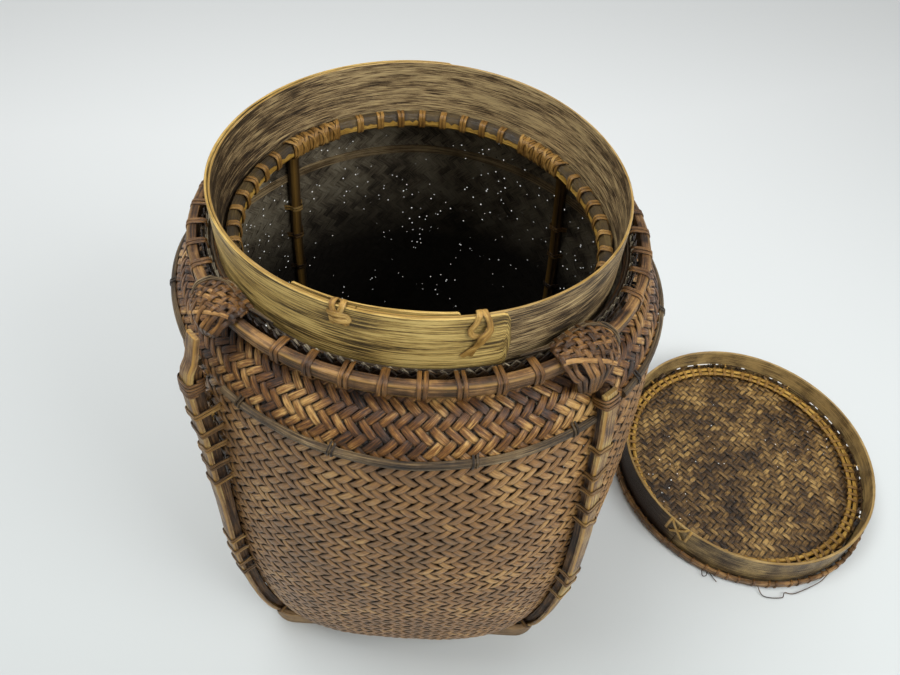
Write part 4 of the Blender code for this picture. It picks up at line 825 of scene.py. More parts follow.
# Rattan left with its skin, weathered grey, with deep grooves along it
grey_rattan = strip_finish(
    "weathered_half_rattan", ((0.05, "#170f09"), (0.35, "#43341f"), (0.65, "#6e5a3c"), (0.95, "#a58f68")),
    "#150e08", 0.7, (0.05, 0.0011), (0.5, 0.8, 0.4), 0.03, 0.42, relief=0.0005)
for number, (side, centre) in enumerate(SIDES.items()):
    reach = math.pi / 4 - GIRDLE_HOOP_END / GIRDLE_SIDE
    turns = np.linspace(centre - reach, centre + reach, GIRDLE_HOOP_SAMPLES)
    sway = wander(GIRDLE_HOOP_SAMPLES, 0.0005, 70 + number)
    path, outward = wall_place(turns, GIRDLE_HEIGHT + sway, 0.0001)
    tubes = [ribbon(path, outward, GIRDLE_HOOP_HEIGHT, GIRDLE_HOOP_DEPTH, HALF_ROUND)]
    for turn in [centre + tie for tie in GIRDLE_TIES]:
        for twin in (-0.0011, 0.0011):
            points, facing = [], []
            for lift, out, lean in TIE_ROUTE:
                point, face = wall_place(turn + (twin + lift * 0.15) / GIRDLE_SIDE, GIRDLE_HEIGHT + lift, out)
                points.append(point)
                facing.append(unit(face + lean * UP))
            tubes.append(strand_between(points, facing, 0.0013, 0.0004, 4))
    stand("basket", "wood_grey", "girdle_hoop_" + side, f"{side}_girdle_hoop", tubes, grey_rattan,
          tone=[0.4] + [0.1] * (len(tubes) - 1), edge=0.0)


# Inside the wall, four posts of dark bamboo stand in the corners against the lining, each
# bound to it with bands of rattan, and a flat grey splint is laid round behind them.
INNER_POST_WIDTH, INNER_POST_DEPTH, INNER_POST_TOP = 0.0085, 0.0060, 0.3590
INNER_BAND_SHARES = (0.24, 0.38, 0.52, 0.66, 0.77, 0.86)
INNER_BAND_PAIR = 0.0027
# A band's reach to each side in half widths of the post, and its depth over the post's back
INNER_BAND_ROUTE = ((-1.9, -0.0006), (-1.06, 0.5 * INNER_POST_DEPTH), (-0.8, 1.08 * INNER_POST_DEPTH),
                    (0.8, 1.08 * INNER_POST_DEPTH), (1.06, 0.5 * INNER_POST_DEPTH), (1.9, -0.0006))
LINING_FACE = 0.0033
SPLINT_HEIGHT, SPLINT_WIDTH, SPLINT_DEPTH, SPLINT_EASE = 0.319, 0.0068, 0.0018, 0.050
SPLINT_SAMPLES = 240

# Both get painted shade that turns them black with depth, as the lining does. Bamboo keeps a yellow line
# along its split edge.
DEPTH_SHADE = ("#070504", 0.95, 0.325, 0.230)
dark_bamboo = strip_finish(
    "dark_inner_bamboo", ((0.12, "#150f09"), (0.5, "#382918"), (0.9, "#624929")), "#8f6c30", 0.7,
    (0.04, 0.0011), (0.2, 0.5, 0.4), 0.03, 0.5, haze=DEPTH_SHADE)
# Golden rattan has kept its fresh colour where hands don't reach
GOLDEN_STOPS = ((0.08, "#4a3218"), (0.38, "#86632f"), (0.65, "#ab8440"), (0.94, "#d2ae67"))
depth_shaded_rattan, golden_rattan = (
    strip_finish(name, GOLDEN_STOPS, "#3a2412", 0.6, (0.010, 0.0009), (0.6, 0.4, 0.3), 0.02,
                 roughness, haze=haze)
    for name, roughness, haze in (("depth_shaded_split_rattan", 0.5, DEPTH_SHADE), ("split_rattan_golden", 0.38, None)))


def inner_place(angle, height):
    """A place against the inside of the lining, clear of the splint, and the way inwards."""
    near = np.clip(1 - (np.abs(height - SPLINT_HEIGHT) - SPLINT_WIDTH) / SPLINT_EASE, 0, 1)
    point, outward = wall_place(angle, height, -LINING_FACE - 2 * GAP - SPLINT_DEPTH * near)
    return point, -outward


turns = np.linspace(0, math.tau, SPLINT_SAMPLES, endpoint=False)
path, outward = wall_place(turns, SPLINT_HEIGHT + wander(SPLINT_SAMPLES, 0.0012, 81), -LINING_FACE - GAP)
splint = ribbon(path[::-1], -outward[::-1], SPLINT_WIDTH, SPLINT_DEPTH, FLAT_STRIP)
stand("basket", "wood_grey", "inner_girdle_hoop", "inner_splint", [splint], grey_rattan, closed=True,
      tone=1.0, edge=0.0)

for number, (corner, angle) in enumerate(zip(CORNERS, POST_ANGLES)):
    path, inward = inner_place(angle, np.linspace(WALL_HEIGHTS[1], INNER_POST_TOP, 50))
    post = ribbon(path, inward, INNER_POST_WIDTH, INNER_POST_DEPTH, STICK_SECTION)
    stand("basket", "bamboo_skin", "inner_post_" + corner, f"{corner}_inner_post", [post], dark_bamboo,
          tone=0.5, edge=np.array([0.0, 0.4, 1.0, 0.0, 0.4, 0.0, 0.0, 0.0]))
    tubes = []
    sideways = round_axis(angle + math.pi / 2, 1.0, 0.0)
    for share in INNER_BAND_SHARES:
        middle, inward = inner_place(angle, GIRDLE_HEIGHT * share)
        upward = np.cross(sideways, inward)
        for twin in (-0.5, 0.5):
            points, facing = [], []
            for reach, depth in INNER_BAND_ROUTE:
                rise = upward * (twin * INNER_BAND_PAIR + reach * 0.0004)
                points.append(middle + sideways * (reach * INNER_POST_WIDTH / 2) + inward * depth + rise)
                facing.append(unit(inward + sideways * (reach * 0.6 if abs(reach) > 1 else 0)))
            tubes.append(strand_between(points, facing, 0.0022, 0.0005, 4))
    tones = [float(tone) for tone in np.random.default_rng(90 + number).uniform(0.2, 0.8, len(tubes))]
    stand("basket", "rattan_tan", "inner_post_bands_" + corner, f"{corner}_inner_bands", tubes,
          depth_shaded_rattan, tone=tones, edge=STRIP_EDGE)


# Rim hoop. A stout split of bamboo is bent round the neck with its skin outwards. The skin is
# brown, and the edges left by the knife show the yellow wood.
RIM_INNER, RIM_OUTER = 0.13578, 0.14178
RIM_LOW, RIM_HIGH = (corner.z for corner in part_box("neck_rim_hoop"))
HOOP_SAMPLES = 300
all_round = np.linspace(0, math.tau, HOOP_SAMPLES, endpoint=False)
# Its section, from the inner top corner over the outer side to the inner foot
RIM_SECTION = [(RIM_INNER, RIM_HIGH - 0.0004), (RIM_INNER + 0.0006, RIM_HIGH),
               (RIM_OUTER - 0.0022, RIM_HIGH), (RIM_OUTER - 0.0014, RIM_HIGH - 0.0002),
               (RIM_OUTER - 0.0006, RIM_HIGH - 0.0009), (RIM_OUTER - 0.0002, RIM_HIGH - 0.0014),
               (RIM_OUTER, RIM_LOW + 0.0036), (RIM_OUTER - 0.0002, RIM_LOW + 0.0032),
               (RIM_OUTER - 0.0016, RIM_LOW + 0.0004), (RIM_OUTER - 0.0024, RIM_LOW),
               (RIM_INNER + 0.0004, RIM_LOW), (RIM_INNER, RIM_LOW + 0.0004)]
RIM_EDGE = np.array([0.0, 0.0, 0.0, 0.4, 1.0, 0.2, 0.0, 0.3, 0.9, 0.2, 0.0, 0.0])


def sweep(section, shape, sway_r, sway_z):
    """Rings of a section of (radius, height) pairs, carried round the axis."""
    radii, heights = np.array(section).T
    radius = (radii + sway_r[:, None]) * shape(all_round)[:, None]
    return round_axis(all_round[:, None], radius, heights + sway_z[:, None])


# Brown bamboo skin that has worn off in places, with yellow wood along the cut edges
hoop_skin = strip_finish(
    "bamboo_hoop_skin", ((0.05, "#1c1109"), (0.38, "#4a321c"), (0.65, "#6f5030"), (0.95, "#9d7848")),
    "#a27c3b", 0.9, (0.04, 0.0012), (0.2, 0.8, 0.8), 0.02, 0.38, worn=0.8)
rim = sweep(RIM_SECTION, mouth_shape, wander(HOOP_SAMPLES, 0.0002, 101, 9),
            wander(HOOP_SAMPLES, 0.0003, 102, 7))
stand("basket", "bamboo_skin", "neck_rim_hoop", "rim_hoop", [rim], hoop_skin, closed=True, tone=0.5,
      edge=RIM_EDGE)


# Neck lashings. Strips of rattan are wound over the hoop and the wall's edge and through the
# plaiting under the hoop, two turns side by side and then on along the inside.
RIM_LASHING_STEP, RIM_LASHINGS_PER_SIDE = math.radians(8), 8
RIM_PAIR = 0.0030
RIM_LASHING_BOX = (0.1300, RIM_OUTER, RIM_LOW, RIM_HIGH)
WINDING_ARC, WINDING_SAMPLES, WINDING_SQUARE = 0.78 * math.pi, 15, 0.5


def winding(turns, box, ease, shape, width, thick, seed, slant, hidden=math.pi):
    """One unbroken strip wound round a hoop's box, of inner and outer radius, foot and top, and
    clear of it by its ease: a full turn at each place, and from one to the next along the
    hidden side."""
    inner, outer, low, high = box
    ease_r, ease_z = np.broadcast_to(ease, 2)
    middle_r, middle_z = (inner + outer) / 2, (low + high) / 2
    rng = np.random.default_rng(seed)
    swing, places = [], []
    visible = np.linspace(-WINDING_ARC, WINDING_ARC, WINDING_SAMPLES)
    for k, turn in enumerate(turns):
        lean = rng.normal(slant, 0.0004) / middle_r
        swing += list(visible + hidden + math.pi + k * math.tau)
        places += list(turn + lean * np.linspace(-1, 1, WINDING_SAMPLES))
    swing, places = np.array(swing), np.array(places)
    across, rise = np.cos(swing), np.sin(swing)
    radius = middle_r + np.sign(across) * np.abs(across) ** WINDING_SQUARE * ((outer - inner) / 2 + ease_r)
    height = middle_z + np.sign(rise) * np.abs(rise) ** WINDING_SQUARE * ((high - low) / 2 + ease_z)
    path = round_axis(places, radius * shape(places), height)
    facing = unit(round_axis(places, across * np.abs(across) + 1e-6, rise * np.abs(rise)))
    return ribbon(path, facing, width, thick)


def pairs_between(centre, count, step, apart):
    """Turns of pairs of windings, evenly set about a side's middle."""
    middles = [centre + (k - (count - 1) / 2) * step for k in range(count)]
    return [middle + way * apart / 2 for middle in middles for way in (-1, 1)]


for number, (side, centre) in enumerate(SIDES.items()):
    turns = pairs_between(centre, RIM_LASHINGS_PER_SIDE, RIM_LASHING_STEP, RIM_PAIR / RIM_OUTER)
    lashing = winding(turns, RIM_LASHING_BOX, (0.0002, 0.0004), mouth_shape, 0.0026, 0.0006,
                      110 + number, 0.0004)
    stand("basket", "rattan_brown", "neck_lashing_" + side, f"{side}_neck_lashing", [lashing],
          split_rattan, tone=0.5, edge=STRIP_EDGE)

# Packing. Loose strands of rattan fill the furrow between the wall's edge and the collar, four
# broad brown ones and five thin grey ones over them.
PACKING_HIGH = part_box("neck_packing_strand")[1].z
PACKING_RADIUS, PACKING_SPREAD = 0.1276, 0.0006
for name, numbers, width, material, tones in (
        ("neck_packing", range(4), 0.0024, split_rattan, [0.1, 0.4, 0.2, 0.3]),
        ("neck_packing_roots", range(4, 9), 0.0012, grey_rattan, 0.0)):
    tubes = []
    for number in numbers:
        radius = (PACKING_RADIUS + PACKING_SPREAD * (number % 4 - 1.5)
                  + wander(HOOP_SAMPLES, 0.0009, 130 + number, 14))
        height = (PACKING_HIGH + 0.0016 * (number % 2) + 0.0022 * (number >= 4)
                  + wander(HOOP_SAMPLES, 0.0014, 140 + number, 12))
        path = round_axis(all_round, radius * mouth_shape(all_round), height)
        tubes.append(ribbon(path, unit(round_axis(all_round, 0.4, 1.0)), width, 0.0007))
    stand("basket", "rattan_brown", "neck_packing_strand", name, tubes, material, closed=True, tone=tones,
          edge=STRIP_EDGE)


# Collar. A wide thin band of bamboo is bent into a ring, and the lid's band slides over it. A
# second, paler band lies round its left side, and a short one inside its front.
COLLAR_RADIUS, COLLAR_THICKNESS = 0.1236, 0.0016
COLLAR_LOW, COLLAR_HIGH = (corner.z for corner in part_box("collar_band"))
COLLAR_SEAM, SEAM_GAP = math.radians(-101), 0.0003
STRIP_INNER, STRIP_OUTER = 0.1239, 0.1253
STRIP_START, STRIP_END = math.radians(83), math.radians(294)
STRIP_LOW, STRIP_TOP = (corner.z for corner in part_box("collar_outer_strip"))
LINER_INNER, LINER_OUTER = 0.1205, 0.1217
LINER_START, LINER_END = math.radians(241), math.radians(283)
LINER_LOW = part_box("collar_inner_strip")[0].z
BAND_SAMPLES = 360
BAND_EDGE = np.array([0.05, 1.0, 1.0, 0.05, 0.0, 0.0, 0.0, 0.0])
BAND_BEVEL = 0.22            # of the band's thickness


def thin_band(start, end, inner, outer, low, high, sway, shape=mouth_shape, round_end=0.0):
    """An open thin band whose top edge sways. Its ends may be cut round, over a length."""
    turns = np.linspace(start, end, len(sway))
    cut = np.zeros(len(sway))
    if round_end:
        share = np.clip(np.minimum(turns - start, end - turns) * outer / round_end, 0, 1)
        cut = (1 - np.sqrt(1 - (1 - share) ** 2)) * (high - low) / 2
    bevel = (outer - inner) * BAND_BEVEL
    radii = np.array([inner, inner + bevel, outer - bevel, outer, outer, outer - bevel, inner + bevel, inner])
    height = np.repeat(np.column_stack([high + sway - cut, low + cut]), 4, axis=1)
    height = height + np.array([-bevel, 0.0, 0.0, -bevel, bevel, 0.0, 0.0, bevel])
    return round_axis(turns[:, None], radii * shape(turns)[:, None], height)


# Bamboo that has kept its straw colour under grey fibres, and its darker, densely streaked
# inner side
straw_bamboo = strip_finish(
    "straw_bamboo_band", ((0.0, "#433720"), (0.26, "#7c663a"), (0.50, "#ae9150"), (0.95, "#dfc379")),
    "#b8913f", 0.65, (0.036, 0.0009), (0.25, 1.3, 0.9), (0.05, 0.009), 0.40, worn=0.3)
inner_straw = strip_finish(
    "streaked_bamboo_inside", ((0.0, "#251d15"), (0.26, "#5e4b33"), (0.50, "#957f5a"), (0.95, "#c6ae7d")),
    "#b8913f", 0.65, (0.020, 0.0008), (0.9, 1.25, 0.7), (0.05, 0.008), 0.5, worn=0.3)

# Painted light makes the ring palest inside its back, and painted shade darkest inside its left. Its outside
# is evenly dark.
turns = np.linspace(COLLAR_SEAM, COLLAR_SEAM + math.tau, BAND_SAMPLES)
painted_inside_light_and_shade = 0.16 + 0.42 * np.clip(np.sin(turns), 0, 1) + 0.13 * np.cos(turns)
ring_tones = np.where(np.isin(np.arange(8), (2, 3, 4, 5)), 0.30, painted_inside_light_and_shade[:, None])
seam = SEAM_GAP / COLLAR_RADIUS
band = thin_band(COLLAR_SEAM + seam, COLLAR_SEAM + math.tau - seam, COLLAR_RADIUS - COLLAR_THICKNESS,
                 COLLAR_RADIUS, COLLAR_LOW, COLLAR_HIGH, wander(BAND_SAMPLES, 0.0003, 151, 9))
stand("basket", "bamboo_straw", "collar_band", "collar_ring", [band], inner_straw, tone=[ring_tones],
      edge=BAND_EDGE)
strip = thin_band(STRIP_START, STRIP_END, STRIP_INNER, STRIP_OUTER, STRIP_LOW, STRIP_TOP,
                  wander(260, 0.0004, 152, 7), round_end=0.005)
stand("basket", "bamboo_straw", "collar_outer_strip", "collar_outer_layer", [strip], straw_bamboo,
      tone=0.5, edge=BAND_EDGE)
liner = thin_band(LINER_START, LINER_END, LINER_INNER, LINER_OUTER, LINER_LOW, STRIP_TOP + 0.0004,
                  wander(90, 0.0003, 153, 4), round_end=0.003)
stand("basket", "bamboo_gold", "collar_inner_strip", "collar_inner_layer", [liner], straw_bamboo,
      tone=0.9, edge=BAND_EDGE)


# Seat hoop. Inside the collar's foot runs a second hoop, golden, with painted shade on its top, wound
# at intervals, and thickly wrapped where the inner posts come up to it.
SEAT_INNER, SEAT_OUTER = 0.11212, 0.11912
SEAT_LOW, SEAT_HIGH = (corner.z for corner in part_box("collar_seat_hoop"))
SEAT_SPLIT = (SEAT_LOW + SEAT_HIGH) / 2      # its painted shade on top begins here
SEAT_SECTION = [(SEAT_INNER + 0.0024, SEAT_HIGH), (SEAT_OUTER - 0.0008, SEAT_HIGH),
                (SEAT_OUTER, SEAT_HIGH - 0.0008), (SEAT_OUTER, SEAT_LOW + 0.0004),
                (SEAT_OUTER - 0.0006, SEAT_LOW), (SEAT_INNER + 0.0016, SEAT_LOW),
                (SEAT_INNER, SEAT_LOW + 0.0016), (SEAT_INNER, SEAT_SPLIT),
                (SEAT_INNER, SEAT_SPLIT + 0.0003), (SEAT_INNER + 0.0004, SEAT_HIGH - 0.0028)]
# Painted shade on the hoop's top and its upper corners
SEAT_EDGE = np.array([1.0, 1.0, 1.0, 0.5, 0.0, 0.0, 0.0, 0.0, 1.0, 1.0])
SEAT_BOX = (SEAT_INNER, SEAT_OUTER, SEAT_LOW, SEAT_HIGH)
SEAT_LASHINGS_PER_SIDE, SEAT_LASHING_STEP, SEAT_PAIR = 8, math.radians(7.6), 0.0024
SEAT_WRAP_TURNS, SEAT_WRAP_PITCH, SEAT_WRAP_CROSSES = 14, 0.0029, (1, 4, 7, 10, 12)

# Golden bamboo, with painted shade laid on its top by the edge trait
golden_hoop = strip_finish(
    "golden_bamboo_hoop", ((0.08, "#6a4c1c"), (0.38, "#a07a33"), (0.65, "#c29a46"), (0.95, "#dcb968")),
    "#2b2721", 0.97, (0.04, 0.0011), (0.3, 0.6, 0.4), 0.02, 0.42, worn=0.15)
seat = sweep(SEAT_SECTION, mouth_shape, wander(HOOP_SAMPLES, 0.0003, 161, 8),
             wander(HOOP_SAMPLES, 0.0004, 162, 8))
seat[:, 7:9, 2] += np.random.default_rng(163).uniform(-0.0011, 0.0011, (HOOP_SAMPLES, 1))
stand("basket", "bamboo_gold", "collar_seat_hoop", "seat_hoop", [seat], golden_hoop, closed=True,
      tone=0.55, edge=SEAT_EDGE)
for number, (side, centre) in enumerate(SIDES.items()):
    wrap = [centre - math.pi / 4 + (k - (SEAT_WRAP_TURNS - 1) / 2) * SEAT_WRAP_PITCH / SEAT_INNER
            for k in range(SEAT_WRAP_TURNS)]
    crossed = [wrap[k] for k in SEAT_WRAP_CROSSES]
    turns = wrap + pairs_between(centre, SEAT_LASHINGS_PER_SIDE, SEAT_LASHING_STEP, SEAT_PAIR / SEAT_INNER)
    tubes = [winding(places, SEAT_BOX, ease, mouth_shape, 0.0026, thick, seed + number, slant, hidden=0.0)
             for places, ease, thick, seed, slant in (
                 (turns, 0.0003, 0.0008, 170, 0.0005),
                 (crossed, 0.0010, 0.0007, 176, -0.0062), (crossed, 0.0010, 0.0007, 176, 0.0062))]
    stand("basket", "rattan_tan", "collar_seat_lashing_" + side, f"{side}_seat_lashing", tubes, tan_rattan,
          tone=[0.6, 0.75, 0.55], edge=STRIP_EDGE)


# Corner caps. Broad strands of rattan fan out from each post's head, climb over the rim hoop to
# the collar and are plaited with cross strands on the way, which ties the hoop down on the
# post. The first cross strand is pale, and thin grey strands border the fan.
CAP_TURNS = [math.radians(turn) for turn in (223.3, 310, 45, 135)]
CAP_FEET = (0.3625, 0.3550, 0.3560, 0.3560)
CAP_TILTS = (1, -1, 1, -1)
CAP_FOOT_RADIUS, CAP_SWELL, CAP_SWELL_RISE = 0.1512, 0.0020, 0.0055
CAP_ROUTE = ((0.1538, 0.3738), (0.1492, 0.3800), (0.1430, 0.3848), (0.1352, 0.3862), (0.1275, 0.3845))
CAP_HALF_WIDTHS = np.array([0.0022, 0.0080, 0.0130, 0.0162, 0.0175, 0.0174, 0.0164])
CAP_STRANDS, CAP_STRAND_WIDTH, CAP_THICKNESS = 9, 0.0030, 0.0008
CAP_CROSSINGS = (0.50, 0.605, 0.70, 0.79, 0.88, 0.965)
CAP_FAN = 0.95               # how far across the cap its outer strands lie
CAP_MIDDLE, CAP_WEAVE, CAP_DOME = -0.0010, 0.0006, 0.0030
# A border strand's places across the cap and up it, at shares of its length
BORDER_SHARES = np.array([0.0, 0.2, 0.45, 0.75, 1.0])
BORDER_ACROSS = np.array([-1.03, -0.99, -0.45, 0.85, 2.1])
BORDER_CLIMB = np.array([0.52, 0.80, 0.965, 0.985, 0.995])


def cap_place(number, across, climb, lift):
    """A place on a corner's cap: across from edge to edge, climbing from its foot."""
    angle, foot = CAP_TURNS[number], CAP_FEET[number]
    swell = (CAP_FOOT_RADIUS + CAP_SWELL, foot + CAP_SWELL_RISE)
    route = np.array([(CAP_FOOT_RADIUS, foot), swell, *CAP_ROUTE])
    stops = np.linspace(0, 1, len(route))

    def at(way):
        return np.array([smooth_between(stops, values, way) for values in route.T])

    run_r, run_z = at(np.minimum(climb + 0.02, 1.0)) - at(np.maximum(climb - 0.02, 0.0))
    size = np.maximum(np.hypot(run_r, run_z), 1e-9)
    out_r, out_z = run_z / size, -run_r / size
    total = lift - CAP_DOME * np.minimum(across ** 2, 1)
    radius, height = at(climb) + np.array([out_r, out_z]) * total
    turn = angle + across * smooth_between(stops, CAP_HALF_WIDTHS, climb) / RIM_OUTER
    outward = unit(round_axis(turn, out_r, out_z)
                   + round_axis(angle + math.pi / 2, 0.45 * np.clip(across, -1, 1), 0.0))
    return round_axis(turn, radius * mouth_shape(turn), height), outward


for number, corner in enumerate(CORNERS):
    rng = np.random.default_rng(180 + number)
    tubes = []
    climb = np.linspace(0.0, 1.0, 64)
    order = np.interp(climb, (CAP_CROSSINGS[0] - 0.1, *CAP_CROSSINGS), (-0.5, *range(len(CAP_CROSSINGS))))
    for k in range(CAP_STRANDS):
        across = (2 * k / (CAP_STRANDS - 1) - 1) * CAP_FAN + rng.normal(0, 0.035) * np.sin(climb * 3)
        lift = CAP_MIDDLE + CAP_WEAVE * np.cos(math.pi * (order + k)) + 0.00015 * (k % 3)
        path, outward = cap_place(number, across, climb, lift)
        width = CAP_STRAND_WIDTH * rng.normal(1, 0.06) * (0.6 + 0.4 * np.clip(climb * 4, 0, 1))
        tubes.append(ribbon(path, outward, width, CAP_THICKNESS))
    across = np.linspace(-1.04, 1.04, 60)
    strand = (across / CAP_FAN + 1) / 2 * (CAP_STRANDS - 1)
    for k, crossing in enumerate(CAP_CROSSINGS):
        lift = CAP_MIDDLE - CAP_WEAVE * (np.cos(math.pi * (strand + k)) - (k == 0))
        lift = lift - 0.0012 * (np.abs(across) > 1)
        tilt = 0.17 * CAP_TILTS[number] * (1 - 0.9 * k / len(CAP_CROSSINGS)) + rng.normal(0, 0.02)
        bow = tilt * across + rng.normal(0, 0.01) * np.cos(across * 3) - 0.04 * across ** 2
        path, outward = cap_place(number, across, np.clip(crossing + bow, 0, 1), lift)
        tubes.append(ribbon(path, outward, CAP_STRAND_WIDTH * 0.9 * rng.normal(1, 0.1), CAP_THICKNESS))
    tones = [float(tone) for tone in rng.uniform(0.15, 0.75, len(tubes))]
    tones[CAP_STRANDS] = 1.0
    stand("basket", "rattan_brown", "corner_cap_" + corner, f"{corner}_cap", tubes, split_rattan,
          tone=tones, edge=STRIP_EDGE)
    tubes = []
    way = np.linspace(0, 1, 80)
    for k in range(4):
        across = smooth_between(BORDER_SHARES, BORDER_ACROSS - 0.03 * k * (BORDER_SHARES < 0.3), way)
        climb = smooth_between(BORDER_SHARES, BORDER_CLIMB + 0.02 * (k - 1.5) * (BORDER_SHARES < 0.8), way)
        lift = 0.0002 + 0.0003 * np.sin(way * 16 + 2 * k) - 0.0012 * way
        path, outward = cap_place(number, CAP_TILTS[number] * across, np.clip(climb, 0, 1), lift)
        tubes.append(ribbon(path, outward, 0.0016 * (1 - 0.5 * way), 0.0006))
    stand("basket", "rattan_brown", "corner_cap_" + corner, f"{corner}_cap_border", tubes, grey_rattan,
          tone=[0.5, 0.8, 0.3, 0.9], edge=STRIP_EDGE)


# Collar ties. Two strips of golden rattan are knotted over the collar's top edge, where its
# layers are stitched together. One is a small cross, and the other hangs down in an open loop.
# A strand's points are its slip along the edge, its drop below it and its reach off the face.
PLAIN_TIE, LONG_TIE = math.radians(255), math.radians(286)
TIE_WIDTH, TIE_THICKNESS = 0.0032, 0.0004
INSIDE_COLLAR = LINER_INNER - STRIP_OUTER - GAP
CROSS = ((-.004, .014, .0003), (-.002, .008, .0009), (.002, .0025, .0009), (.003, -.0008, -.0006),
         (.002, .001, INSIDE_COLLAR), (.001, .012, INSIDE_COLLAR))
CROSSED = ((.005, .013, .0004), (.002, .008, .0016), (-.002, .0025, .0012), (-.003, -.0008, -.0006),
           (-.002, .001, INSIDE_COLLAR), (-.001, .012, INSIDE_COLLAR))
SMALL_LOOP = ((-.006, .006, .0004), (-.001, .0045, .0022), (.005, .006, .0006), (.006, .009, .0006),
              (.001, .0085, .0026), (-.005, .010, .0006))
OPEN_LOOP = ((.001, .013, INSIDE_COLLAR), (.001, .001, INSIDE_COLLAR), (.000, -.0008, -.0006),
             (-.002, .004, .0006), (-.005, .009, .0008), (-.003, .013, .0014), (.003, .012, .0024),
             (.006, .008, .0012), (.007, .012, .0008), (.003, .019, .0012), (-.004, .026, .0008),
             (-.009, .031, .0004))
TAIL = ((.004, .012, INSIDE_COLLAR), (.004, .001, INSIDE_COLLAR), (.004, -.0008, -.0006),
        (.006, .004, .0006), (.006, .009, .0020), (.001, .013, .0030), (.000, .019, .0016),
        (-.002, .026, .0006), (-.004, .031, .0003))
for name, node, turn, shares, strands in (
        ("plain_collar_tie", "collar_tie_plain", PLAIN_TIE, (0.9, 0.9, 1.0), (CROSS, CROSSED, SMALL_LOOP)),
        ("long_collar_tie", "collar_tie_long", LONG_TIE, (0.8, 0.85, 1.0), (OPEN_LOOP, TAIL))):
    tubes = []
    for strand in strands:
        slip, drop, off = (np.array(strand) * shares).T
        at = turn + slip / STRIP_OUTER
        points = round_axis(at, (STRIP_OUTER + off) * mouth_shape(at), STRIP_TOP - drop)
        facing = unit(round_axis(at, 1 - 2 * np.clip(off / INSIDE_COLLAR, 0, 1), 0.2 + 4 * (drop < 0)))
        tubes.append(strand_between(points, facing, TIE_WIDTH, TIE_THICKNESS, 8))
    stand("basket", "rattan_tan", node, name, tubes, golden_rattan, tone=[0.75, 0.6, 0.85], edge=STRIP_EDGE)


# Lid. A bent bamboo band, of which the ends are stitched together with a cross of rattan. It
# lies upside down, so its open side is up, and the inside of the band shows.
LID_RADIUS, LID_THICKNESS = 0.1310, 0.0028
LID_BAND_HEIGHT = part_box("lid_band")[1].z
LID_SEAM = math.radians(228)
LID_OVAL_SHARE, LID_OVAL_TURN = 0.019, math.radians(69.5)
LID_BAND_TONES = np.array([.85, .75, .6, .35, .35, .3, .5, .75])
LID_BAND_OUTSIDE = np.array([0, 0, 0, 1, 1, 0, 0, 0])
BASKET_SHADOW_MIDDLE, BASKET_SHADOW_REACH = math.radians(197), math.radians(25)


def lid_shape(turn):
    return 1 + LID_OVAL_SHARE * np.cos(2 * (turn - LID_OVAL_TURN))


# Weathered bamboo skin, with a painted shadow of the basket on its outside towards the basket
lid_bamboo = strip_finish(
    "lid_band_bamboo", ((0.0, "#241408"), (0.28, "#54442e"), (0.58, "#857049"), (0.95, "#b59a64")),
    "#a8874a", 0.7, (0.035, 0.0012), (0.6, 0.9, 0.7), 0.03, 0.42, worn=0.6)
turns = np.linspace(LID_SEAM, LID_SEAM + math.tau, BAND_SAMPLES) % math.tau
# Painted shadow of the basket, darkening the band's outside on the side that faces it
dark = np.exp(-((turns - BASKET_SHADOW_MIDDLE) / BASKET_SHADOW_REACH) ** 4)
tones = LID_BAND_TONES - 1.5 * dark[:, None] * LID_BAND_OUTSIDE
seam = SEAM_GAP / LID_RADIUS
band = thin_band(LID_SEAM + seam, LID_SEAM + math.tau - seam, LID_RADIUS - LID_THICKNESS, LID_RADIUS, 0.0,
                 LID_BAND_HEIGHT, wander(BAND_SAMPLES, 0.0006, 221, 6) - 0.0006, lid_shape)
stand("lid", "bamboo_straw", "lid_band", "lid_bent_band", [band], lid_bamboo, tone=[tones], edge=BAND_EDGE)


# The lid's top is a plaited disc, slightly dished, with its edge turned up inside the band. Its
# rows come to a point in the middle. Smoke has darkened it unevenly, and worn floats show tan.
DISC_HEIGHT, DISC_CROWN, DISC_EDGE_RISE = 0.0117, 0.0030, 0.0085
DISC_RADIUS, DISC_PITCH, DISC_LIFT, DISC_THICKNESS = 0.1270, 0.0047, 0.00055, 0.0009

# Fine split bamboo, smoked, with nearly black painted shade in its gaps
lid_plait = strip_finish(
    "fine_smoked_plait", ((0.05, "#1f140a"), (0.35, "#4d371c"), (0.62, "#7a5d32"), (0.95, "#b08e54")),
    "#0d0804", 0.92, (0.008, 0.0010), (0.5, 0.5, 0.55), 0.03, 0.42)
let_daylight_in(lid_plait, 0.0050, 0.00045, 0.84)


def disc_height(flat):
    """The disc's face, dished in the middle and turned up at its edge."""
    turn = np.arctan2(flat[:, 1], flat[:, 0])
    share = np.linalg.norm(flat, axis=1) / (DISC_RADIUS * lid_shape(turn))
    dish = -DISC_CROWN * np.clip(1 - share, 0, 1) ** 0.8
    return DISC_HEIGHT + dish + DISC_EDGE_RISE * np.clip((share - 0.965) / 0.035, 0, 1) ** 1.5


rings, tones, painted_shade = flat_plait(DISC_RADIUS * 1.03, lambda turn: DISC_RADIUS * lid_shape(turn), disc_height,
                                DISC_PITCH, DISC_LIFT, DISC_THICKNESS, 31, unruly=0.09, pointed=True)
stand("lid", "lid_olive", "lid_weave", "lid_disc_strips", rings, lid_plait, tone=tones, edge=painted_shade)
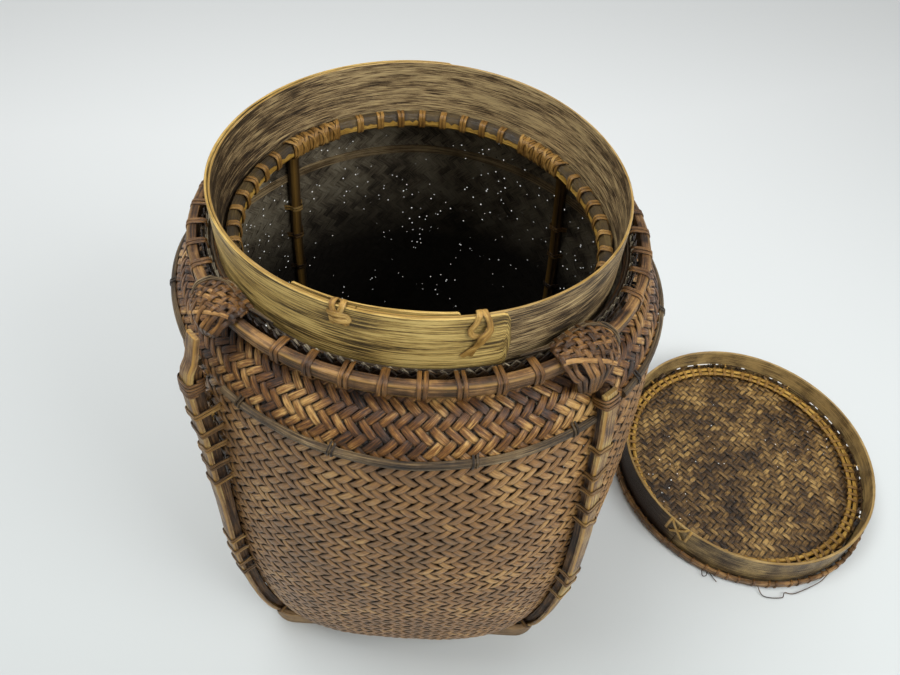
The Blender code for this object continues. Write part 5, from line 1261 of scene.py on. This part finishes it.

# On the far side the disc has shrunk from the band. A dark strip of painted shade fills the gap,
# and broken dashes on it glow as painted daylight.
GAP_FROM, GAP_TO, GAP_RADIUS, GAP_HEIGHT = math.radians(-35), math.radians(125), 0.1262, 0.0198
gap_shade_strip = strip_finish("daylit_gap_shade_strip", ((0.1, "#1a1108"), (0.6, "#4d371c"), (0.95, "#836336")),
                          "#0d0804")
let_daylight_in(gap_shade_strip, 0.0060, 0.0030, 0.42)
turns = np.linspace(GAP_FROM, GAP_TO, 200)
path = round_axis(turns, (GAP_RADIUS + wander(200, 0.0003, 225, 30)) * lid_shape(turns), GAP_HEIGHT)
stand("lid", "lid_olive", "lid_weave", "lid_gap_shade_strip", [ribbon(path, UP, 0.0011, 0.0005)], gap_shade_strip,
      tone=0.4, edge=0.0)


# Hoops clamp the disc to the band. Inside, two thin golden ones lie on the disc's turned-up
# edge, with rattan wound over both like the rungs of a ladder. Outside there is one knobbly
# hoop near the floor. Small pegs stand between the inner hoops and the band.
LADDER_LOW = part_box("lid_inner_hoop")[0].z
LADDER_HIGH = LADDER_LOW + 0.0024
LADDER_RADII = ((0.1140, 0.1176), (0.1198, 0.1236))
LADDER_BOX = (LADDER_RADII[0][0], LADDER_RADII[1][1], LADDER_LOW, LADDER_HIGH)
LID_RIM_BOX = (0.13301, 0.13641, *(corner.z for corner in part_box("lid_outer_hoop")))
LID_HOOP_BEVEL = 0.0008
LID_RUNGS, LID_RIM_TURNS, LID_PEGS = 76, 74, 14
# Two loose ends of the outer winding stick out over the floor: turns, radii and heights
LOOSE_ENDS = (((265.3, 267.2, 273.8, 275.8, 279.8, 291.0, 296.0),
               (.1362, .1470, .1478, .1430, .1444, .1400, .1372), (.003, .002, .002, .002, .002, .003, .004)),
              ((243.1, 244.3, 245.6, 245.8, 248.0, 249.8),
               (.1370, .1440, .1430, .1381, .1410, .1445), (.004, .002, .003, .003, .002, .002)))


def lid_hoop(inner, outer, low, high, unevenness, seed):
    """A hoop of the lid, with its section's corners cut."""
    bevel = LID_HOOP_BEVEL
    section = [(inner, high - bevel), (inner + bevel, high), (outer - bevel, high), (outer, high - bevel),
               (outer, low + bevel), (outer - bevel, low), (inner + bevel, low), (inner, low + bevel)]
    return sweep(section, lid_shape, wander(HOOP_SAMPLES, unevenness, seed, 25),
                 wander(HOOP_SAMPLES, unevenness, seed + 5, 25))


def wound_lid(count, box, width, seed, rng, hidden=math.pi):
    """Windings round a hoop of the lid, about evenly set."""
    turns = (np.arange(count) + rng.normal(0, 0.14, count)) * math.tau / count
    return winding(turns, box, 0.0003, lid_shape, width, 0.0007, seed, 0.0006, hidden)


ladder = [lid_hoop(*radii, LADDER_LOW, LADDER_HIGH, 0.0003, 231 + k) for k, radii in enumerate(LADDER_RADII)]
stand("lid", "bamboo_gold", "lid_inner_hoop", "lid_hoops_inside", ladder, golden_hoop, closed=True,
      tone=[0.3, 0.5], edge=0.0)
stand("lid", "bamboo_skin", "lid_outer_hoop", "lid_hoop_outside", [lid_hoop(*LID_RIM_BOX, 0.0004, 233)],
      hoop_skin, closed=True, tone=0.6, edge=0.2)

rng = np.random.default_rng(241)
tubes = [wound_lid(LID_RUNGS, LADDER_BOX, 0.0036, 241, rng, hidden=0.0)]
for k in range(LID_PEGS):
    turn = (k + rng.uniform(-0.3, 0.3)) * math.tau / LID_PEGS
    reach = np.linspace(LADDER_RADII[1][1] + GAP, LID_RADIUS - LID_THICKNESS, 5)
    path = round_axis(turn, reach * lid_shape(turn), LADDER_LOW + 0.0035)
    tubes.append(ribbon(path, UP, 0.0022, 0.0018))
stand("lid", "rattan_tan", "lid_inner_lashing", "lid_rungs_inside", tubes, golden_rattan,
      tone=[0.45] + [0.9] * LID_PEGS, edge=STRIP_EDGE)
tubes = [wound_lid(LID_RIM_TURNS, LID_RIM_BOX, 0.0024, 242, np.random.default_rng(242))]
for turned, radii, heights in LOOSE_ENDS:
    path = through(round_axis(np.radians(turned), np.array(radii), np.array(heights)), 6)
    tubes.append(ribbon(path, UP, 0.0008, 0.0005))
stand("lid", "rattan_brown", "lid_outer_lashing", "lid_winding_outside", tubes, split_rattan,
      tone=[0.45, 0.1, 0.1], edge=STRIP_EDGE)

# Two crossed stitches and one at each side hold the ends of the band together. Each goes from
# a side and a height to another side and height.
STITCH_REACH, STITCH_LOW, STITCH_HIGH = math.radians(3.5), 0.021, 0.0405
share = np.linspace(0, 1, 12)
sink = 0.0022 * np.exp(-np.minimum(share, 1 - share) * 25)
tubes = []
for k, (first, foot, second, head) in enumerate((
        (-1, STITCH_LOW, 1, STITCH_HIGH), (-1, STITCH_HIGH, 1, STITCH_LOW),
        (-1.4, STITCH_LOW, -1.2, STITCH_HIGH), (1.3, STITCH_LOW, 1.4, STITCH_HIGH))):
    turn = LID_SEAM + STITCH_REACH * (first + (second - first) * share)
    radius = LID_RADIUS + 0.0010 + 0.0006 * (k == 1) - sink
    path = round_axis(turn, radius * lid_shape(turn), foot + (head - foot) * share)
    tubes.append(ribbon(path, round_axis(turn, 1.0, 0.0), 0.0030, 0.0007))
stand("lid", "rattan_tan", "lid_band_stitch", "lid_cross_stitches", tubes, golden_rattan,
      tone=[1.0, 0.9, 0.8, 1.0], edge=STRIP_EDGE)
